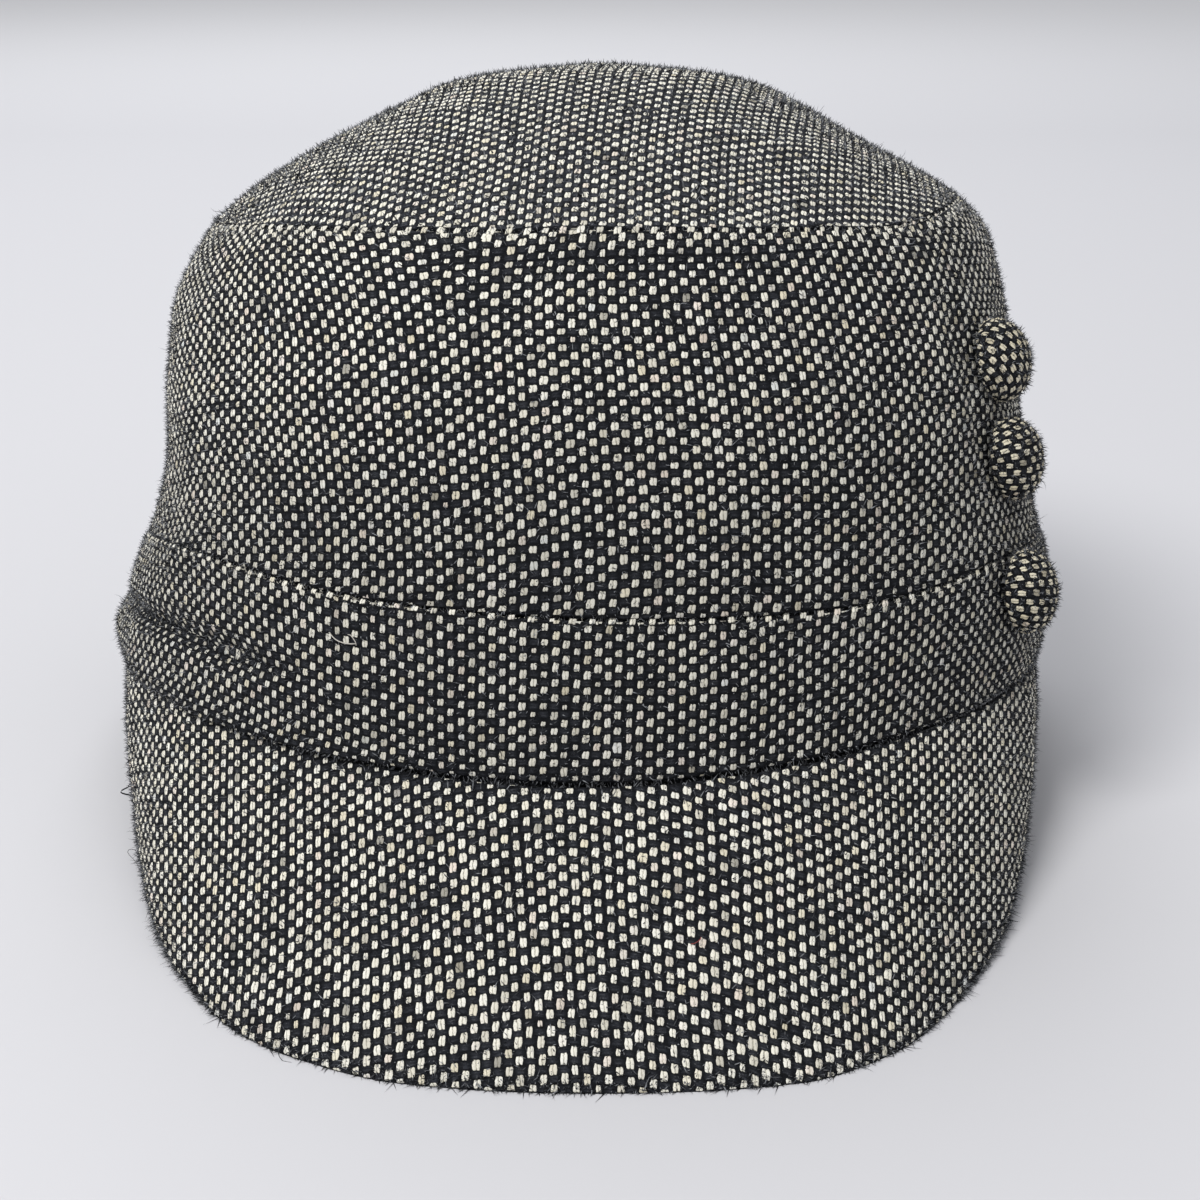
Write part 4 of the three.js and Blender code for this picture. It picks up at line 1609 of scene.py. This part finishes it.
def bridge_seam(name, lower, upper, drop, sizes, tools):
    """The row of floats that lies across a seam, a drop below it. sizes scale it round the seam."""
    reach = np.array([2.2, 1.4, 0.6])[:, None]
    proud = np.full((3, 1), -0.05)
    below, below_normals = lower.layer(1 - reach / lower.length, proud, True)
    above, above_normals = upper.layer(reach[::-1] / upper.length, proud, True)
    points = np.concatenate([below, above])
    steps = np.linalg.norm(np.diff(points, axis=0), axis=-1)
    up = np.vstack([np.zeros((1, points.shape[1])), np.cumsum(steps, axis=0)])
    off_seam = up - (up[2] + up[3]) / 2 + drop
    places = to_map(lower.roundwise() * np.ones_like(up), off_seam)
    mesh = sheet_mesh(name + "_face", points, places)
    normals = np.concatenate([below_normals, above_normals])
    give_vectors(mesh, "rise", tipped(normals.reshape(-1, 3)))
    give_numbers(mesh, "swell", np.broadcast_to(sizes, up.shape).ravel())
    values = {
        "rows": 1,
        "centre across": 0.0,
        "centre along": 0.0,
        "height": SEAM_FLOAT_HEIGHT,
        "seed": SEEDS[name],
        "yarn": tools["cream"]["crown_top"],
    }
    lay_floats(name + "_floats", mesh, "crown_cloth", map_bounds(places), FLOAT_SIZES[name], tools, values)


def crease_shade_shrink(wall):
    """How much smaller the floats are in the crease under the top seam, in front, so that more dark ground
    shows: painted shade of the crease.
    """
    unused, high = edge_distances(wall)
    return 0.4 * window(wall.turns, -20, 22, 8) * np.exp(-(((high - CREASE_DROP) / 0.9) ** 2))


def seam_shadow(wall, shares):
    """How much smaller the floats are along the peak's seam, on its right."""
    return 0.4 * window(wall.turns, -84, -8, 16) * np.exp(-((shares * wall.length / 1.5) ** 2))


def shrink_for_shade_and_seam(wall):
    """How much smaller the floats are along the band's lower seam and in the fold across it, so that more
    dark ground shows there as painted shade, and in the dent of the back seam.
    """
    sunk = seam_shadow(wall, wall.shares) + 0.42 * fold_across(wall.turns, *edge_distances(wall))
    most_sunk = 0.55
    return np.minimum(sunk + BACK_SEAM_SHRINK * back_seam(wall.turns, FLAT_SEAM_WIDTH), most_sunk)


def cover(node, face, slot_name, outer_map, tools):
    """Lays the floats and stands the hairs on one outer face."""
    values = {"yarn": tools["cream"][node], "seed": SEEDS[node]}
    parts = {"_floats": {}}
    if node in HALVED_FLOATS:
        middle = COLUMN_PITCH / 2
        parts = {"_floats_right": {"most across": middle}, "_floats_left": {"least across": middle}}
    bounds = map_bounds(outer_map)
    for ending, part in parts.items():
        lay_floats(node + ending, face, slot_name, bounds, FLOAT_SIZES[node], tools, {**values, **part})
    grow_hairs(node, face, slot_name, tools, SEEDS[node])


def fray_seam(node, wall, slot_name, tools):
    """Cream ends of thread that stick out of the seam above a wall."""
    mesh = sheet_mesh(node + "_seam", wall.outer[-EDGE_ROWS:])
    turns = wall.turns
    worn = 0.25 + 1.2 * window(turns, -48, -20, 10) + 1.2 * window(turns, 36, 56, 8)
    give_numbers(mesh, "fray", np.broadcast_to(worn, (EDGE_ROWS, len(turns))).ravel())
    plant(node, "seam_threads", mesh, slot_name, tools, SEEDS["seam_threads"] + SEEDS[node])


def paint(mesh, outside, inside, wall, dome=False):
    """The inner face wears one material, and the outer face and the edges the other."""
    mesh.materials.append(outside)
    mesh.materials.append(inside)
    columns = wall.outer.shape[1] - 1
    rows_before = 0 if dome else len(wall.outer)
    # Strips at both ends of the inner half that belong to the edges
    start_strips, end_strips = 2, 4
    first = 0 if dome else rows_before + start_strips
    last = rows_before + len(wall.inner) - end_strips
    numbers = np.zeros(len(mesh.polygons), np.int32)
    numbers[first * columns: last * columns] = 1
    if dome:
        numbers[-columns:] = 1
    mesh.polygons.foreach_set("material_index", numbers)


def plant(node, kind, mesh, slot_name, tools, seed, gain=1.0):
    """Grows one kind of hair out of a mesh. gain makes the hairs stouter."""
    template, yarn, hairs, shortest, longest, thickness, lean, clumping = HAIRS[kind]
    made = grown(f"{node}_{kind}", mesh, tools["fuzz"], {
        "hairs": hairs,
        "shortest": shortest,
        "longest": longest,
        "thickness": thickness * gain,
        "lean": lean,
        "clumping": clumping,
        "seed": seed,
        "templates": tools[template],
        "yarn": tools[yarn],
    })
    show(f"{node}_{kind}", made, slot_name)


def grow_hairs(node, face, slot_name, tools, seed):
    """Short straight down and longer curled fibres."""
    gain = DOME_HAIR_GAIN if node == "crown_top" else 1.0
    for kind in ("down", "fibres"):
        plant(node, kind, face, slot_name, tools, seed, gain)


def button_profile(sides):
    """Points of a covered button round its axis, from its foot to its tip."""
    rows = [(BUTTON_FOOT, 0.0)]
    for turn in np.linspace(-70, -10, 5):
        angle = math.radians(turn)
        out = BUTTON_FOOT + (BUTTON_RADIUS - BUTTON_FOOT) * math.cos(angle)
        rows.append((out, BUTTON_WAIST * (1 + math.sin(angle))))
    for turn in np.linspace(0, 84, 15):
        angle = math.radians(turn)
        rise = BUTTON_WAIST + (BUTTON_RISE - BUTTON_WAIST) * math.sin(angle)
        rows.append((BUTTON_RADIUS * math.cos(angle), rise))
    rows = np.array(rows)
    angles = np.linspace(0, 2 * np.pi, sides + 1)
    out, rise = rows[:, :1], rows[:, 1:]
    return np.stack([out * np.cos(angles), out * np.sin(angles), rise + 0 * angles], -1)


def button_maps(points, crown, cloth_turn):
    """Weave map of a button, spread out flat from its tip."""
    steps = np.linalg.norm(np.diff(points, axis=0), axis=-1)
    climbed = np.vstack([np.zeros((1, points.shape[1])), np.cumsum(steps, axis=0)])
    reach = climbed[-1] - climbed + np.linalg.norm(points[-1] - crown, axis=-1)
    angle = np.arctan2(points[..., 1], points[..., 0]) + math.radians(cloth_turn)
    return to_map(reach * np.cos(angle), reach * np.sin(angle))


def make_buttons(tools):
    """Three domes of cloth, each with its weave turned its own way."""
    points = button_profile(BUTTON_SIDES)
    crown = np.array([0.0, 0.0, BUTTON_RISE])
    map_middle = np.array([0.5, 0.5])
    reach = BUTTON_MAP_REACH
    for seed, (node, turn, height, cloth_turn) in enumerate(BUTTONS, SEEDS["button"]):
        def wall_near(angle, share):
            """The wall close to the button."""
            return body_point(angle, height + share - 0.5)

        normal = outward_normal(wall_near, np.array(float(turn)), np.array(0.5))
        foot = body_point(turn, height) + normal * PIECE_GAP
        up = unit(np.array([0, 0, 1.0]) - normal * normal[2])
        left = np.cross(up, normal)

        def placed(body):
            """Points of a button in the cap's frame."""
            return foot + body[..., :1] * left + body[..., 1:2] * up + body[..., 2:] * normal

        places = button_maps(points, crown, cloth_turn)
        rings, tip, under = placed(points), placed(crown), placed(np.zeros(3))
        mesh = domed_mesh(node + "_cloth", rings, places, tip, map_middle, under)
        # The band's dark yarn, with its painted shade, covers the buttons too
        mesh.materials.append(tools["ground"]["band"])
        show(node + "_cloth", mesh, "button_cloth", node)
        face = domed_mesh(node + "_face", rings, places, tip, map_middle)
        count = len(face.vertices)
        normals = np.zeros(count * 3, np.float32)
        face.vertices.foreach_get("normal", normals)
        give_vectors(face, "rise", normals)
        give_numbers(face, "fray", np.full(count, BUTTON_FRAY))
        give_numbers(face, "swell", np.ones(count))
        values = {"yarn": tools["warm"], "seed": seed, "unevenness": 0.7}
        bounds = (-reach, reach, -reach, reach)
        lay_floats(node + "_floats", face, "button_cloth", bounds, FLOAT_SIZES["button"], tools, values)
        grow_hairs(node, face, "button_cloth", tools, seed)


# The stage


FLOOR_RADIUS = 4.0
FLOOR_SIDES = 96
PALE_FROM = 0.9                 # metres behind the cap, where the floor starts to grow paler
PALE_OVER = 1.5

# Lights: name, place, size, power, tone
LIGHTS = [
    ("key", (-0.75, -0.85, 1.35), 0.8, 22.0, (1.0, 0.99, 0.97)),
    ("fill", (1.1, -0.9, 0.7), 1.0, 1.4, (1.0, 0.98, 0.95)),
    ("back", (-0.2, 1.2, 1.3), 1.2, 12.0, (0.98, 0.99, 1.0)),
]
LIT_PLACE = (0.0, 0.0, 0.06)

CAMERA_PLACE = (0.00399, -0.36882, 0.16713)
LOOK_DOWN = math.radians(20.2)
LENS = 62.1
SENSOR_WIDTH = 36.0
NEAREST_SEEN = 0.01


def make_stage():
    """A plain pale floor, a little paler far behind the cap."""
    bpy.ops.mesh.primitive_circle_add(vertices=FLOOR_SIDES, radius=FLOOR_RADIUS, fill_type="NGON")
    floor = bpy.context.object
    floor.name = "floor"
    material, desk = new_material("pale_floor")
    place = desk.node("ShaderNodeTexCoord", output="Object")
    unused, behind, unused = desk.parts(place)
    far = ((behind - PALE_FROM) / PALE_OVER).at_least(0.0).at_most(1.0)
    tone = desk.blend_colours(far, colour(206, 206, 210), colour(246, 246, 248))
    finish_material(desk, {"Base Color": tone, "Roughness": 0.85, "Specular IOR Level": 0.2})
    floor.data.materials.append(material)


def add_light(name, place, size, power, tone):
    """A round soft light that points at the cap."""
    data = bpy.data.lights.new(name, "AREA")
    data.shape = "DISK"
    data.size = size
    data.energy = power
    data.color = tone
    lamp = bpy.data.objects.new(name, data)
    lamp.location = place
    lamp.rotation_mode = "QUATERNION"
    lamp.rotation_quaternion = (Vector(LIT_PLACE) - Vector(place)).to_track_quat("-Z", "Y")
    bpy.context.scene.collection.objects.link(lamp)


def make_lights():
    """Three soft lights and an even pale surround."""
    for light in LIGHTS:
        add_light(*light)
    world = bpy.data.worlds.new("studio")
    bpy.context.scene.world = world
    world.use_nodes = True
    world.node_tree.nodes.clear()
    desk = Desk(world.node_tree)
    sky = desk.node("ShaderNodeBackground", {}, {"Color": colour(236, 237, 240), "Strength": 0.55})
    desk.node("ShaderNodeOutputWorld", {}, {"Surface": sky})
    bpy.context.scene.view_settings.view_transform = "Standard"


def make_camera():
    """The camera, in front of the cap and a little above it."""
    camera = bpy.data.objects.new("camera", bpy.data.cameras.new("camera"))
    camera.data.lens = LENS
    camera.data.sensor_width = SENSOR_WIDTH
    camera.data.clip_start = NEAREST_SEEN
    camera.location = CAMERA_PLACE
    camera.rotation_euler = (math.pi / 2 - LOOK_DOWN, 0.0, 0.0)
    bpy.context.scene.collection.objects.link(camera)
    bpy.context.scene.camera = camera


make_camera()
make_stage()
make_lights()
tools = make_tools()
walls = make_walls()
make_crown_side(walls["crown_side"], tools)
make_band(walls["band"], tools)
make_peak(walls["peak"], tools)
make_crown_top(walls["crown_top"], tools)
make_seam_floats(walls, tools)
fringe(walls["peak"], tools)
make_buttons(tools)
make_strays()

bpy.context.view_layer.update()
